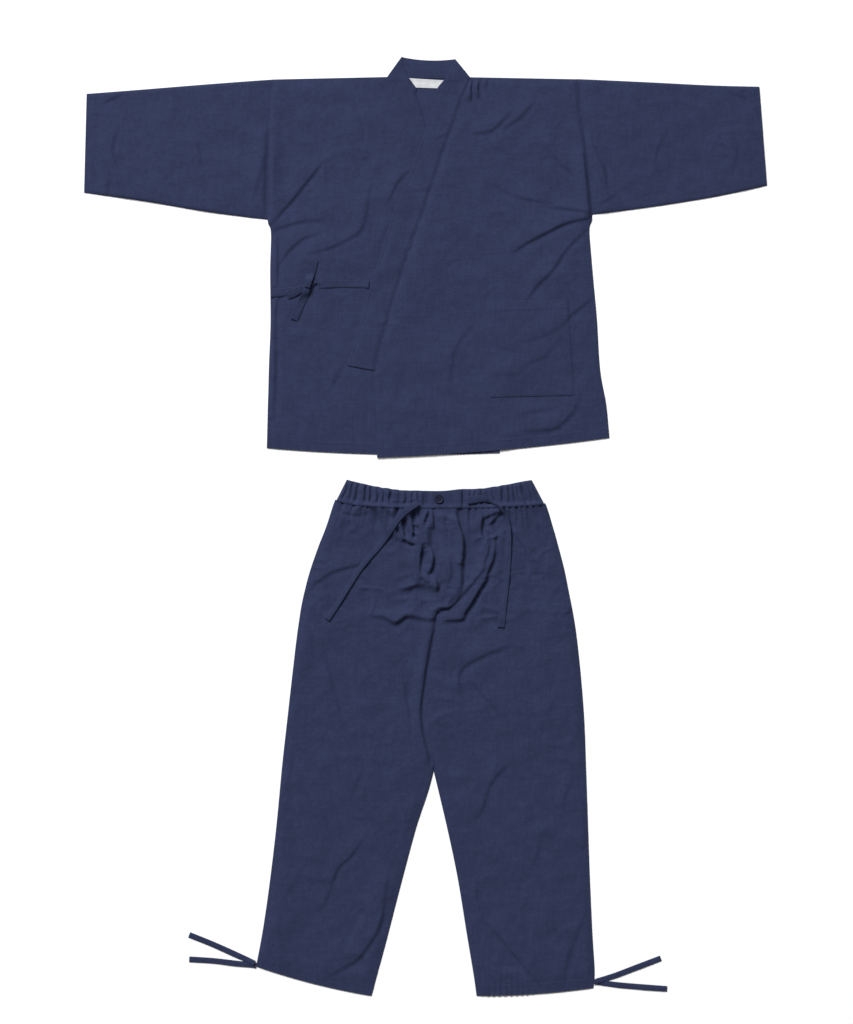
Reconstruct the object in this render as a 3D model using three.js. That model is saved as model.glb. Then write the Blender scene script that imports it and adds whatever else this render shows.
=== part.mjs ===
// A samue set laid flat: the wrapped jacket above, the tied trousers below it.
// Millimetres, Z up from the floor, +Y towards the neck, +X to the right of someone who
// looks down on the fronts. The origin is on the floor under the middle of the layout.
// Left and right in the names are the wearer's: the right front lies on the -X side.
import * as THREE from 'three';

// Driving dimensions
const WALL = 1.2; // cloth wall
const BAND_WALL = 1.6; // doubled and stiffened cloth: collar band and tapes
const SEAM_GAP = 0.3; // air between pieces that are sewn together or lie on each other
const SIDE_GAP = 0.5; // air between two edges that are drawn by different curves
const PANEL_STEP = 32; // mesh spacing on a large panel that shows
const FLOOR_STEP = 100; // mesh spacing on a panel that rests on the floor
const BAND_STEP = 16; // mesh spacing across the collar band
const TAPE_STEP = 13; // mesh spacing along a tape
const HIDDEN_INSET = 1.5; // how far a back edge hides inside the front edge above it

const SHOULDER_Y = 880; // shoulder line at the neck
const CROTCH_Y = -472;
const WAIST_SEAM_Y = 31; // lower edge of the waistband at the centre
const CENTRE_X = 24; // centre front of the trousers
const PLACKET_X = 71; // end of the waistband half that laps over
const UNDERLAP_X = -2; // end of the waistband half underneath
const WAIST_RIGHT_X = -178; // the two ends of the waistband across the body
const WAIST_LEFT_X = 236;
const BAND_REACH = 6; // how closely the waistband follows what lies under it

const GATHER_PITCH = 18; // one gather of the waistband
const GATHER_RISE = 2.2;
const GATHER_DEPTH = 60; // how far the gathers run down from the waist seam
const GATHER_DRIFT = 5; // how far a gather strays from its even place
const PRESSED_HALF = 38; // half width of the pressed stretch at the placket
const PRESSED_SHARE = 0.85; // how much of a gather is pressed out there
const PUCKER_PITCH = 11; // one pucker of the left ankle casing
const PUCKER_RISE = 1.3;
const PUCKER_MIDDLE_X = 162;
const PUCKER_HALF = 52; // half width of the puckered stretch
const PUCKER_DEPTH = 42; // how far the puckers run up from the hem
const LEFT_HEM_Y = -919;

const COLLAR_TIE_WIDTH = 16;
const SIDE_TIE_WIDTH = 14;
const BOW_LOOP_WIDTH = 12;
const DRAWSTRING_WIDTH = 13.5;
const HEM_TIE_WIDTH = 11;

const BUTTON_RADIUS = 9;
const BUTTON_THICKNESS = 2.4;
const BUTTON_HOLE_RADIUS = 1;
const BUTTON_HOLE_OFFSET = 2;

const NAVY = 0x343c5c;
const DEEP_NAVY = 0x2b3250;
const BUTTON_BLUE = 0x1d2440;
const LABEL_WHITE = 0xe9e9e6;

// Turns short lists into rows with named columns.
function table(columns, ...rows) {
  return rows.map((row) => Object.fromEntries(columns.map((name, i) => [name, row[i]])));
}

const SECTION = ['leftX', 'leftY', 'rightX', 'rightY', 'sag', 'columns'];
const PLACE = ['x', 'y'];
const FOLD = ['fromX', 'fromY', 'toX', 'toY', 'bow', 'rise', 'half'];

// The pile holds the top of all cloth laid so far, over small squares of the floor.
const SQUARE = 4;
const PILE_HALF_X = 700;
const PILE_HALF_Y = 960;
const PILE_COLUMNS = (2 * PILE_HALF_X) / SQUARE;
const PILE_ROWS = (2 * PILE_HALF_Y) / SQUARE;
const pile = new Float32Array(PILE_COLUMNS * PILE_ROWS);

function squareOf(x, y) {
  const column = Math.floor((x + PILE_HALF_X) / SQUARE);
  const row = Math.floor((y + PILE_HALF_Y) / SQUARE);
  return row * PILE_COLUMNS + column;
}

// Height on which a cloth point rests when it spans everything within its reach.
function restingHeight(x, y, reach) {
  let top = 0;
  for (let dx = -reach; dx <= reach; dx += SQUARE) {
    for (let dy = -reach; dy <= reach; dy += SQUARE) {
      if (Math.hypot(dx, dy) <= reach) top = Math.max(top, pile[squareOf(x + dx, y + dy)]);
    }
  }
  return top > 0 ? top + SEAM_GAP : 0;
}

function addToPile(piece) {
  for (const [a, b, c] of piece.faces) {
    const corners = [piece.outer[a], piece.outer[b], piece.outer[c]];
    const size = Math.max(corners[0].distanceTo(corners[1]), corners[1].distanceTo(corners[2]));
    const steps = Math.ceil((1.5 * size) / SQUARE);
    for (let i = 0; i <= steps; i += 1) {
      for (let j = 0; j <= steps - i; j += 1) {
        const point = new THREE.Vector3()
          .addScaledVector(corners[0], i / steps)
          .addScaledVector(corners[1], j / steps)
          .addScaledVector(corners[2], 1 - (i + j) / steps);
        const square = squareOf(point.x, point.y);
        pile[square] = Math.max(pile[square], point.z);
      }
    }
  }
}

// A fold is a soft ridge from one place to another that may bow sideways and dies away at
// both ends.
function foldHeight(fold, x, y) {
  const dx = fold.toX - fold.fromX;
  const dy = fold.toY - fold.fromY;
  const length = Math.hypot(dx, dy);
  const along = ((x - fold.fromX) * dx + (y - fold.fromY) * dy) / length ** 2;
  if (along <= 0 || along >= 1) return 0;
  const bowed = fold.bow * 4 * along * (1 - along);
  const aside = ((y - fold.fromY) * dx - (x - fold.fromX) * dy) / length - bowed;
  const across = Math.min(1, Math.abs(aside) / fold.half);
  return fold.rise * (1 - across ** 2) ** 2 * Math.sin(Math.PI * along) ** 0.6;
}

function foldsHeight(folds, x, y) {
  return folds.reduce((height, fold) => Math.max(height, foldHeight(fold, x, y)), 0);
}

// Uneven gathers across the waist, pressed flat where the placket laps.
function gatherHeight(x) {
  const drifted = x + GATHER_DRIFT * (Math.sin(x / 31) + 0.6 * Math.sin(x / 13 + 1));
  const wave = 0.5 + 0.5 * Math.cos((2 * Math.PI * drifted) / GATHER_PITCH);
  const fromPlacket = x - 0.5 * (CENTRE_X + PLACKET_X);
  const pressed = Math.exp(-((fromPlacket / PRESSED_HALF) ** 2));
  return GATHER_RISE * wave * (1 - PRESSED_SHARE * pressed);
}

function gatherBelowBand(x, y) {
  const left = Math.max(0, 1 - (WAIST_SEAM_Y - y) / GATHER_DEPTH);
  return gatherHeight(x) * Math.min(1, left) ** 2;
}

// Puckers where the left ankle casing is drawn up.
function puckerHeight(x, y) {
  const within = Math.max(0, 1 - (Math.abs(x - PUCKER_MIDDLE_X) / PUCKER_HALF) ** 4);
  const near = Math.max(0, 1 - (y - LEFT_HEM_Y) / PUCKER_DEPTH);
  return PUCKER_RISE * within * near * (0.5 + 0.5 * Math.cos((2 * Math.PI * x) / PUCKER_PITCH));
}

// Sections run across a panel from its left edge to its right edge. Smooth edges join
// their ends, and a section may sag towards -Y in its middle.
function panelPlan(sections, step) {
  const left = new THREE.SplineCurve(sections.map((s) => new THREE.Vector2(s.leftX, s.leftY)));
  const right = new THREE.SplineCurve(sections.map((s) => new THREE.Vector2(s.rightX, s.rightY)));
  const spans = sections.length - 1;
  const rowAt = (span, part) => {
    const t = Math.min(1, (span + part) / spans);
    const from = left.getPoint(t);
    const to = right.getPoint(t);
    const here = sections[span];
    const next = sections[Math.min(span + 1, spans)];
    const sag = (here.sag ?? 0) * (1 - part) + (next.sag ?? 0) * part;
    const columns = here.columns ?? Math.ceil(from.distanceTo(to) / step);
    return Array.from({ length: columns + 1 }, (_, i) => {
      const across = i / columns;
      const point = from.clone().lerp(to, across);
      point.y -= sag * 4 * across * (1 - across);
      return point;
    });
  };
  const rows = [];
  for (let span = 0; span < spans; span += 1) {
    const leftLength = Math.hypot(
      sections[span + 1].leftX - sections[span].leftX,
      sections[span + 1].leftY - sections[span].leftY,
    );
    const rightLength = Math.hypot(
      sections[span + 1].rightX - sections[span].rightX,
      sections[span + 1].rightY - sections[span].rightY,
    );
    const steps = Math.max(1, Math.round(Math.max(leftLength, rightLength) / step));
    for (let k = 0; k < steps; k += 1) rows.push(rowAt(span, k / steps));
  }
  rows.push(rowAt(spans, 0));
  return rows;
}

// A band is sewn along a panel's edge, row by row, out to its own free edge.
function bandPlan(seam, freeEdge, columns) {
  const free = new THREE.SplineCurve(freeEdge.map((p) => new THREE.Vector2(p.x, p.y)));
  const lengths = [0];
  for (let i = 1; i < seam.length; i += 1) {
    lengths.push(lengths[i - 1] + seam[i].distanceTo(seam[i - 1]));
  }
  return seam.map((point, row) => {
    const outer = free.getPointAt(lengths[row] / lengths.at(-1));
    const away = outer.clone().sub(point).normalize();
    const inner = point.clone().addScaledVector(away, SIDE_GAP);
    return Array.from({ length: columns + 1 }, (_, i) => inner.clone().lerp(outer, i / columns));
  });
}

// A tape of one width follows a line of places.
function tapePlan(line, width, step) {
  const path = new THREE.SplineCurve(line.map((p) => new THREE.Vector2(p.x, p.y)));
  const steps = Math.ceil(path.getLength() / step);
  return Array.from({ length: steps + 1 }, (_, i) => {
    const middle = path.getPointAt(i / steps);
    const heading = path.getTangentAt(i / steps);
    const aside = new THREE.Vector2(-heading.y, heading.x);
    return [-0.5, 0, 0.5].map((part) => middle.clone().addScaledVector(aside, part * width));
  });
}

// An ellipse in plan, by sections across it.
function ovalPlan(centreX, centreY, radiusX, radiusY, turn, rows, columns) {
  const cos = Math.cos(turn);
  const sin = Math.sin(turn);
  return Array.from({ length: rows + 1 }, (_, i) => {
    const angle = Math.PI * (0.06 + (0.88 * i) / rows);
    const y = -radiusY * Math.cos(angle);
    const reach = radiusX * Math.sin(angle);
    return Array.from({ length: columns + 1 }, (__, j) => {
      const x = reach * ((2 * j) / columns - 1);
      return new THREE.Vector2(centreX + x * cos - y * sin, centreY + x * sin + y * cos);
    });
  });
}

// Triangles between two rows of vertex numbers that may differ in length.
function zipRows(lower, upper) {
  const faces = [];
  let i = 0;
  let j = 0;
  while (i < lower.length - 1 || j < upper.length - 1) {
    const lowerNext = (i + 1) / (lower.length - 1);
    const upperNext = (j + 1) / (upper.length - 1);
    const advanceLower = j === upper.length - 1 || (i < lower.length - 1 && lowerNext <= upperNext);
    if (advanceLower) {
      faces.push([lower[i], lower[i + 1], upper[j]]);
      i += 1;
    } else {
      faces.push([lower[i], upper[j + 1], upper[j]]);
      j += 1;
    }
  }
  return faces;
}

// Closes two matching sheets of rows, the inner and the outer side of a cloth, into a solid.
function clothPiece(innerRows, outerRows) {
  const inner = innerRows.flat();
  const outer = outerRows.flat();
  let count = 0;
  const numbers = outerRows.map((row) => row.map(() => count++));
  const faces = numbers.slice(1).flatMap((row, i) => zipRows(numbers[i], row));
  const rim = [
    ...numbers[0],
    ...numbers.slice(1, -1).map((row) => row.at(-1)),
    ...numbers.at(-1).slice().reverse(),
    ...numbers.slice(1, -1).map((row) => row[0]).reverse(),
  ];
  const lift = outer.length;
  const triangles = faces.flatMap(([a, b, c]) => [[a, b, c], [a + lift, c + lift, b + lift]]);
  rim.forEach((from, i) => {
    const to = rim[(i + 1) % rim.length];
    triangles.push([from + lift, to + lift, to], [from + lift, to, from]);
  });
  const points = [...outer, ...inner];
  const volume = triangles.reduce(
    (sum, [a, b, c]) => sum + points[a].dot(points[b].clone().cross(points[c])),
    0,
  );
  const turned = volume < 0 ? triangles.map(([a, b, c]) => [a, c, b]) : triangles;
  const geometry = new THREE.BufferGeometry().setFromPoints(points);
  geometry.setIndex(turned.flat());
  geometry.computeVertexNormals();
  return { geometry, faces, outer };
}

const samue = new THREE.Group();

function addMesh(name, geometry, colour, roughness = 0.95) {
  const material = new THREE.MeshStandardMaterial({ color: colour, roughness, metalness: 0 });
  const mesh = new THREE.Mesh(geometry, material);
  mesh.name = name;
  samue.add(mesh);
}

// Lays a cloth plan on the pile. Lift adds height to the whole wall, crown only to its top.
function lay(name, plan, options = {}) {
  const { wall = WALL, reach = PANEL_STEP, folds = [], colour = NAVY } = options;
  const lift = options.lift ?? (() => 0);
  const crown = options.crown ?? (() => 0);
  const innerRows = plan.map((row) => row.map((p) => {
    const height = restingHeight(p.x, p.y, reach) + foldsHeight(folds, p.x, p.y) + lift(p.x, p.y);
    return new THREE.Vector3(p.x, p.y, height);
  }));
  const outerRows = innerRows.map((row) => row.map((p) => {
    return new THREE.Vector3(p.x, p.y, p.z + wall + crown(p.x, p.y));
  }));
  const piece = clothPiece(innerRows, outerRows);
  addMesh(name, piece.geometry, colour);
  return piece;
}

// Draws each edge of a hidden panel in from the edge above it.
function tuckIn(sections, leftInset, rightInset) {
  return sections.map((s) => ({ ...s, leftX: s.leftX + leftInset, rightX: s.rightX - rightInset }));
}

// Jacket back, from the hem up to the shoulder line, and the neck stretch of the collar
const jacketBackSections = table(SECTION,
  [-310, 158, 359, 178, 4],
  [-306.5, 300, 343, 300],
  [-304, 450, 332, 450],
  [-303, 575, 321.5, 580],
  [-308.5, 602, 327, 611],
  [-308, 700, 318, 712],
  [-307, 790, 306, 800],
  [-302, 873, 299, 873, -5],
);
const neckBandSections = table(SECTION,
  [-72, SHOULDER_Y + 0.8, 85, SHOULDER_Y + 0.3, 0],
  [-46, 919, 58, 915, 4.5],
);
const LABEL_HALF_WIDTH = 38;
const LABEL_MIDDLE_X = 3;
const LABEL_LEFT = LABEL_MIDDLE_X - LABEL_HALF_WIDTH;
const LABEL_RIGHT = LABEL_MIDDLE_X + LABEL_HALF_WIDTH;
const labelSections = table(SECTION,
  [LABEL_LEFT, 856, LABEL_RIGHT, 856],
  [LABEL_LEFT, 875, LABEL_RIGHT, 875],
);

// Right front: it lies on the back and runs on under the left front to its own free edge.
const rightFrontSections = table(SECTION,
  [-311, 153, 145, 143.5, 8],
  [-308.5, 250, 148, 245, 3],
  [-306.7, 318, 150, 304],
  [-303.7, 400, 110, 402],
  [-304.5, 500, 69, 502],
  [-303, 575, 39, 575],
  [-309.5, 601, 27, 604],
  [-308, 680, -5, 680],
  [-308, 740, -28, 740],
  [-307, 806, -53, 806],
  [-302, 875, -75, SHOULDER_Y],
);
const RIGHT_SEAM_FROM_Y = 303;
const rightCollarFreeEdge = table(PLACE,
  [199, 314],
  [110, 528],
  [22, 739],
  [2, 780],
  [-11, 819],
  [-21, 855],
  [-32, 882],
  [-46, 920.5],
);
const rightFrontFolds = table(FOLD,
  [-301, 606, -197, 717, -8, 3.6, 26],
  [-297, 560, -207, 600, 6, 3.2, 26],
  [-300, 500, -215, 573, 8, 2.8, 28],
  [-219, 536, -131, 573, -6, 2.6, 28],
  [-130, 560, -103, 690, 6, 2.2, 26],
  [-290, 560, -291, 470, -4, 3.0, 26],
  [-290, 450, -294, 262, 5, 2.6, 26],
);

// Left front: the upper front, lapped over the right one
const leftFrontSections = table(SECTION,
  [-95, 134, 360, 173, 6],
  [-97, 225, 354, 238, 3],
  [-100, 305, 342, 308],
  [-77, 403, 336, 404],
  [-56, 472, 329.5, 474],
  [-37, 533, 324, 538],
  [-22, 575, 321.3, 582],
  [-10, 608, 327, 610],
  [14, 680, 321, 682],
  [34, 737, 315, 740],
  [55, 794, 306, 800],
  [70, 838, 302, 838],
  [87, 879.5, 299, 875.5],
);
const LEFT_SEAM_FROM_Y = 304;
const leftCollarFreeEdge = table(PLACE,
  [-153, 314],
  [-127, 403],
  [-104, 484],
  [-85, 540],
  [-67, 604],
  [-39, 670],
  [-14, 737],
  [4, 788],
  [16, 836],
  [36, 874],
  [58, 915],
);
const leftFrontFolds = table(FOLD,
  [230, 749, 308, 657, -6, 3.0, 26],
  [132, 670, 238, 633, -6, 2.6, 26],
  [318, 606, 159, 518, 10, 4.2, 28],
  [316, 586, 196, 444, -8, 3.4, 28],
  [220, 847, 142, 772, 8, 2.6, 26],
  [160, 837, 100, 768, 8, 2.4, 24],
  [87, 388, 49, 274, -6, 2.2, 26],
  [299, 247, 196, 188, 12, 2.8, 28],
);
const pocketSections = table(SECTION,
  [126, 252, 293, 256, 0],
  [121, 345, 287, 350, 0],
  [117, 439, 281, 443.5, -1],
);

// Sleeves, each one cloth folded along the shoulder line and closed under the arm. A row
// gives the fold above and the underarm seam below, from the cuff to the armhole.
const SLEEVE = ['foldX', 'foldY', 'underX', 'underY'];
const rightSleeveRows = table(SLEEVE,
  [-664, 847, -669, 653],
  [-560, 855, -550, 636],
  [-430, 865.5, -428, 615.5],
  [-303, 875, -310, 600],
);
const rightSleeveFolds = table(FOLD,
  [-607, 795, -597, 686, -8, 3.0, 26],
  [-322, 790, -346, 640, 5, 2.6, 24],
  [-455, 745, -430, 670, 4, 2.2, 26],
);
const leftSleeveRows = table(SLEEVE,
  [654, 861, 669, 667],
  [560, 863.5, 566, 645],
  [430, 870, 442, 625],
  [300, 876, 328, 610],
);
const leftSleeveFolds = table(FOLD,
  [335, 762, 362, 655, 6, 2.8, 26],
  [455, 730, 430, 668, -4, 2.0, 26],
  [600, 800, 612, 700, 5, 2.2, 26],
);

// The turn of a sleeve at its fold, as a small half round between its two layers
const TURN_MIDDLE = (2 * WALL + SEAM_GAP) / 2;
const turnAngles = [-90, -45, 0, 45, 90].map((degrees) => (degrees * Math.PI) / 180);

// Where a line of places, running up or down, crosses a height in the layout
function crossingX(line, y) {
  const above = line.findIndex((p, i) => i > 0 && p.y >= y);
  const [from, to] = above > 0 ? line.slice(above - 1, above + 1) : line.slice(-2);
  return from.x + ((to.x - from.x) * (y - from.y)) / (to.y - from.y);
}

// A sleeve ends just clear of the armhole edge of the body, on its outward side.
function sleeveSolid({ rows, folds, armhole, outward, topColumns, floorColumns }) {
  const fold = new THREE.SplineCurve(rows.map((r) => new THREE.Vector2(r.foldX, r.foldY)));
  const under = new THREE.SplineCurve(rows.map((r) => new THREE.Vector2(r.underX, r.underY)));
  const steps = Math.round(fold.getLength() / PANEL_STEP);
  const innerRows = [];
  const outerRows = [];
  for (let k = 0; k <= steps; k += 1) {
    const top = fold.getPoint(k / steps);
    const bottom = under.getPoint(k / steps);
    const down = bottom.clone().sub(top).normalize();
    const width = top.distanceTo(bottom) - TURN_MIDDLE;
    const inner = [];
    const outer = [];
    const place = (list, inset, z) => {
      const at = top.clone().addScaledVector(down, inset);
      if (k === steps) at.x = crossingX(armhole, at.y) + outward * SIDE_GAP;
      list.push(new THREE.Vector3(at.x, at.y, z));
    };
    for (let i = 0; i < floorColumns; i += 1) {
      const inset = TURN_MIDDLE + width * (1 - i / floorColumns);
      place(outer, inset, 0);
      place(inner, inset, WALL);
    }
    for (const angle of turnAngles) {
      const ring = (radius) => [TURN_MIDDLE - radius * Math.cos(angle),
        TURN_MIDDLE + radius * Math.sin(angle)];
      place(outer, ...ring(TURN_MIDDLE));
      place(inner, ...ring(SEAM_GAP / 2));
    }
    for (let i = 1; i <= topColumns; i += 1) {
      const inset = TURN_MIDDLE + (width * i) / topColumns;
      const at = top.clone().addScaledVector(down, inset);
      const lifted = foldsHeight(folds, at.x, at.y);
      place(outer, inset, 2 * WALL + SEAM_GAP + lifted);
      place(inner, inset, WALL + SEAM_GAP + lifted);
    }
    innerRows.push(inner);
    outerRows.push(outer);
  }
  return clothPiece(innerRows, outerRows);
}

// Trousers, from the waist seam down to the hem. The right front carries the fly, which
// laps over the left front down to the foot of its J-shaped stitching.
const WAIST_COLUMNS = 46;
const rightTrouserSections = table(SECTION,
  [-177, 45, 70, 31, 7, WAIST_COLUMNS],
  [-187, 20, 66, 18, 4, WAIST_COLUMNS],
  [-197.5, -9, 72, -4, 0, WAIST_COLUMNS / 2],
  [-210.5, -42, 81, -36, 0],
  [-227, -90, 78, -84, 0],
  [-238, -132, 75, -126, 0],
  [-243.5, -158, 55, -157, 0],
  [-247, -180, 25, -174, 0],
  [-253, -223, 17, -223, 0],
  [-262, -300, 4, -300, 0],
  [-271, -380, -3, -380, 0],
  [-281, -470, 16, CROTCH_Y, 0],
  [-292.5, -590, -20, -597, 0],
  [-305.5, -700, -51, -713, 1],
  [-318.5, -790, -77.5, -816, 3],
  [-332, -863, -106, -920.5, 5],
);
const leftTrouserSections = table(SECTION,
  [20, 31, 235, 38, 4, WAIST_COLUMNS],
  [21, 15, 244, 15, 2, WAIST_COLUMNS],
  [23, -8, 251.5, -8, 0, WAIST_COLUMNS / 2],
  [24, -35, 259, -35, 0],
  [25, -85, 272, -85, 0],
  [26, -130, 281, -130, 0],
  [26, -176, 290, -176, 0],
  [18, -223, 297, -223, 0],
  [5, -300, 305, -300, 0],
  [-2, -380, 311, -380, 0],
  [17, CROTCH_Y, 314.5, -472, 0],
  [42, -590, 318.5, -588, 0],
  [63, -690, 322, -690, 0],
  [81, -800, 327, -800, 0],
  [94, -878, 331.5, -872, 2, 84],
  [100, -920.5, 329, -905, 4, 84],
);
// Each back follows its front's outer edge and meets the other back at the centre.
const rightTrouserBackSections = table(SECTION,
  [-176, 44, 22, 31, 6, 12],
  [-197.5, -9, 24, -9, 0],
  [-227, -90, 25, -90, 0],
  [-246, -178, 25, -178, 0],
  [-271, -380, -3, -380, 0],
  [-281, -470, 16, CROTCH_Y, 0],
  [-292.5, -590, -20, -597, 0],
  [-305.5, -700, -51, -713, 1],
  [-318.5, -790, -77.5, -816, 3],
  [-330, -861, -105, -918.5, 5],
);
const leftTrouserBackSections = table(SECTION,
  [22, 31, 234, 38, 3, 12],
  [24, -9, 251.5, -9, 0],
  [25, -90, 273, -90, 0],
  [25, -178, 290, -178, 0],
  [-3, -380, 311, -380, 0],
  [16, CROTCH_Y, 314.5, -472, 0],
  [42, -590, 318.5, -588, 0],
  [63, -690, 322, -690, 0],
  [81, -800, 327, -800, 0],
  [99.5, -919, 328, -903, 4],
);
const rightTrouserFolds = table(FOLD,
  [-20, 20, -4, -110, 8, 3.2, 26],
  [-118, 40, -80, -20, 4, 2.8, 24],
  [-225, -122, -130, -76, -6, 3.4, 26],
  [-158, -192, 14, -186, 5, 2.6, 26],
  [-200, -250, -158, -400, 5, 2.8, 28],
  [-46, -290, -27, -420, -5, 2.2, 26],
  [-128, -622, -200, -742, 8, 2.8, 28],
  [-76, -700, -182, -876, -18, 3.2, 26],
  [-291, -775, -266, -852, 4, 2.2, 24],
);
const leftTrouserFolds = table(FOLD,
  [60, -190, 132, -30, -18, 4.0, 26],
  [112, -40, 150, 30, 10, 3.0, 24],
  [170, -10, 216, -104, 6, 2.6, 26],
  [162, -234, 70, -330, 14, 3.0, 28],
  [88, -300, 146, -368, 4, 2.4, 26],
  [205, -236, 236, -290, 4, 2.2, 26],
  [156, -470, 100, -572, 6, 2.6, 28],
  [124, -778, 214, -888, 4, 3.0, 26],
  [311, -764, 273, -890, 5, 2.6, 26],
);

// Waistband: its right half laps over the left half at the placket. A row runs up the band.
const BAND_ROW = ['lowX', 'lowY', 'highX', 'highY'];
const waistRows = table(BAND_ROW,
  [-177, 45.5, -154, 91],
  [-138, 37.5, -127, 84],
  [-96, 34, -92, 76.5],
  [-48, 32, -47, 70.8],
  [0, 31.5, 0, 69],
  [36, 31.5, 36, 69],
  [71, 31.5, 71, 72.5],
  [108, 32, 110, 73.5],
  [150, 33.5, 149, 79.5],
  [192, 35.5, 181, 86],
  [235, 38.5, 208, 90.5],
);
const WAIST_ROWS = 96;
const waistSeam = waistEdge('lowX', 'lowY');
const waistTop = waistEdge('highX', 'highY');

function waistEdge(x, y) {
  const edge = new THREE.SplineCurve(waistRows.map((r) => new THREE.Vector2(r[x], r[y])));
  return edge.getPoints(WAIST_ROWS);
}

// The stretch of the waistband between two places along it, a row for every small step
function waistPlan(fromX, toX, inset) {
  const rows = waistSeam.map((low, i) => {
    const high = waistTop[i].clone();
    high.y -= inset;
    return [low.clone(), high];
  });
  return rows.filter(([low]) => low.x >= fromX && low.x <= toX);
}

// A trouser panel's top edge follows the waist seam, just below the band.
function sewnToWaist(plan) {
  for (const point of plan[0]) {
    const next = Math.max(1, waistSeam.findIndex((p) => p.x >= point.x));
    const [from, to] = waistSeam.slice(next - 1, next + 1);
    const part = (point.x - from.x) / (to.x - from.x);
    point.y = from.y + part * (to.y - from.y) - SIDE_GAP;
  }
  return plan;
}

function backBandGathers(x, y) {
  return 0.55 * gatherHeight(x) * THREE.MathUtils.clamp((y - 40) / 28, 0, 1);
}

// Tapes, each by the places its middle line passes
const sideTieLine = table(PLACE, [-299, 457], [-270, 459], [-245, 465]);
const collarTieLine = table(PLACE, [-114, 473], [-160, 473], [-207, 473]);
const upperTailLine = table(PLACE, [-218, 520], [-223, 500], [-225, 487]);
const lowerTailLine = table(PLACE, [-232, 455], [-246, 430], [-259, 406]);
const bowLoopLine = table(PLACE, [-243, 466], [-257, 459], [-271, 448]);
const rightDrawstringLine = table(PLACE,
  [-14, 46],
  [-34, 33],
  [-51, 18],
  [-63, 2],
  [-76, -18],
  [-93, -41],
  [-113, -64],
  [-131, -87],
  [-147, -112],
  [-165, -141],
  [-181, -166],
  [-193, -183],
);
const leftDrawstringLine = table(PLACE,
  [73, 48],
  [90, 51.5],
  [108, 53],
  [124, 50],
  [140, 42],
  [153, 28],
  [160, 10],
  [162, -12],
  [161, -39],
  [159, -71],
  [156, -103],
  [151, -150],
  [145, -201],
);
const rightHemTieLines = [
  table(PLACE, [-332.5, -861], [-372, -857], [-416, -852], [-463, -849]),
  table(PLACE, [-334, -857], [-371, -840], [-416, -820], [-463, -801]),
];
const leftHemTieLines = [
  table(PLACE, [330.7, -893], [375, -899], [420, -903], [473, -907]),
  table(PLACE, [334, -892], [371, -881], [416, -864], [461, -847]),
];

function buildJacket() {
  const backEdges = tuckIn(jacketBackSections, HIDDEN_INSET, HIDDEN_INSET);
  const back = lay('jacket_back', panelPlan(backEdges, FLOOR_STEP));
  const neck = lay('collar_neck', panelPlan(neckBandSections, 30), { colour: DEEP_NAVY });
  addToPile(back);
  addToPile(neck);
  addToPile(lay('neck_label', panelPlan(labelSections, 40), {
    wall: 1,
    reach: BAND_STEP,
    colour: LABEL_WHITE,
  }));

  const rightPlan = panelPlan(rightFrontSections, PANEL_STEP);
  const rightSeam = rightPlan.map((row) => row.at(-1)).filter((p) => p.y > RIGHT_SEAM_FROM_Y);
  const rightFront = lay('jacket_front_right', rightPlan, { folds: rightFrontFolds });
  const rightBand = lay('collar_right', bandPlan(rightSeam, rightCollarFreeEdge, 3), {
    wall: BAND_WALL,
    colour: DEEP_NAVY,
  });
  addToPile(rightFront);
  addToPile(rightBand);

  const leftPlan = panelPlan(leftFrontSections, PANEL_STEP);
  const leftSeam = leftPlan.map((row) => row[0]).filter((p) => p.y > LEFT_SEAM_FROM_Y);
  const leftFront = lay('jacket_front_left', leftPlan, { folds: leftFrontFolds });
  const leftBand = lay('collar_left', bandPlan(leftSeam, leftCollarFreeEdge, 3), {
    wall: BAND_WALL,
    colour: DEEP_NAVY,
  });
  addToPile(leftFront);
  addToPile(leftBand);
  addToPile(lay('jacket_pocket', panelPlan(pocketSections, PANEL_STEP)));

  const columns = { topColumns: 8, floorColumns: 3 };
  const rightSleeve = sleeveSolid({
    ...columns,
    rows: rightSleeveRows,
    folds: rightSleeveFolds,
    armhole: rightPlan.map((row) => row[0]),
    outward: -1,
  });
  const leftSleeve = sleeveSolid({
    ...columns,
    rows: leftSleeveRows,
    folds: leftSleeveFolds,
    armhole: leftPlan.map((row) => row.at(-1)),
    outward: 1,
  });
  addMesh('jacket_sleeve_right', rightSleeve.geometry, NAVY);
  addMesh('jacket_sleeve_left', leftSleeve.geometry, NAVY);
}

function buildFastening() {
  const tape = { wall: BAND_WALL, reach: TAPE_STEP, colour: DEEP_NAVY };
  const ties = [
    ['tie_side', sideTieLine, SIDE_TIE_WIDTH],
    ['tie_collar', collarTieLine, COLLAR_TIE_WIDTH],
    ['tie_tail_upper', upperTailLine, COLLAR_TIE_WIDTH],
    ['tie_tail_lower', lowerTailLine, SIDE_TIE_WIDTH],
    ['tie_loop', bowLoopLine, BOW_LOOP_WIDTH],
  ];
  for (const [name, line, width] of ties) {
    addToPile(lay(name, tapePlan(line, width, TAPE_STEP), tape));
  }
  const KNOT = { x: -223, y: 473, radiusX: 15, radiusY: 13, height: 3.5 };
  const crown = (x, y) => {
    const part = Math.hypot((x - KNOT.x) / KNOT.radiusX, (y - KNOT.y) / KNOT.radiusY);
    return KNOT.height * Math.max(0, 1 - part ** 2);
  };
  const plan = ovalPlan(KNOT.x, KNOT.y, KNOT.radiusX, KNOT.radiusY, 0.5, 6, 6);
  lay('tie_knot', plan, { ...tape, crown });
}

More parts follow.
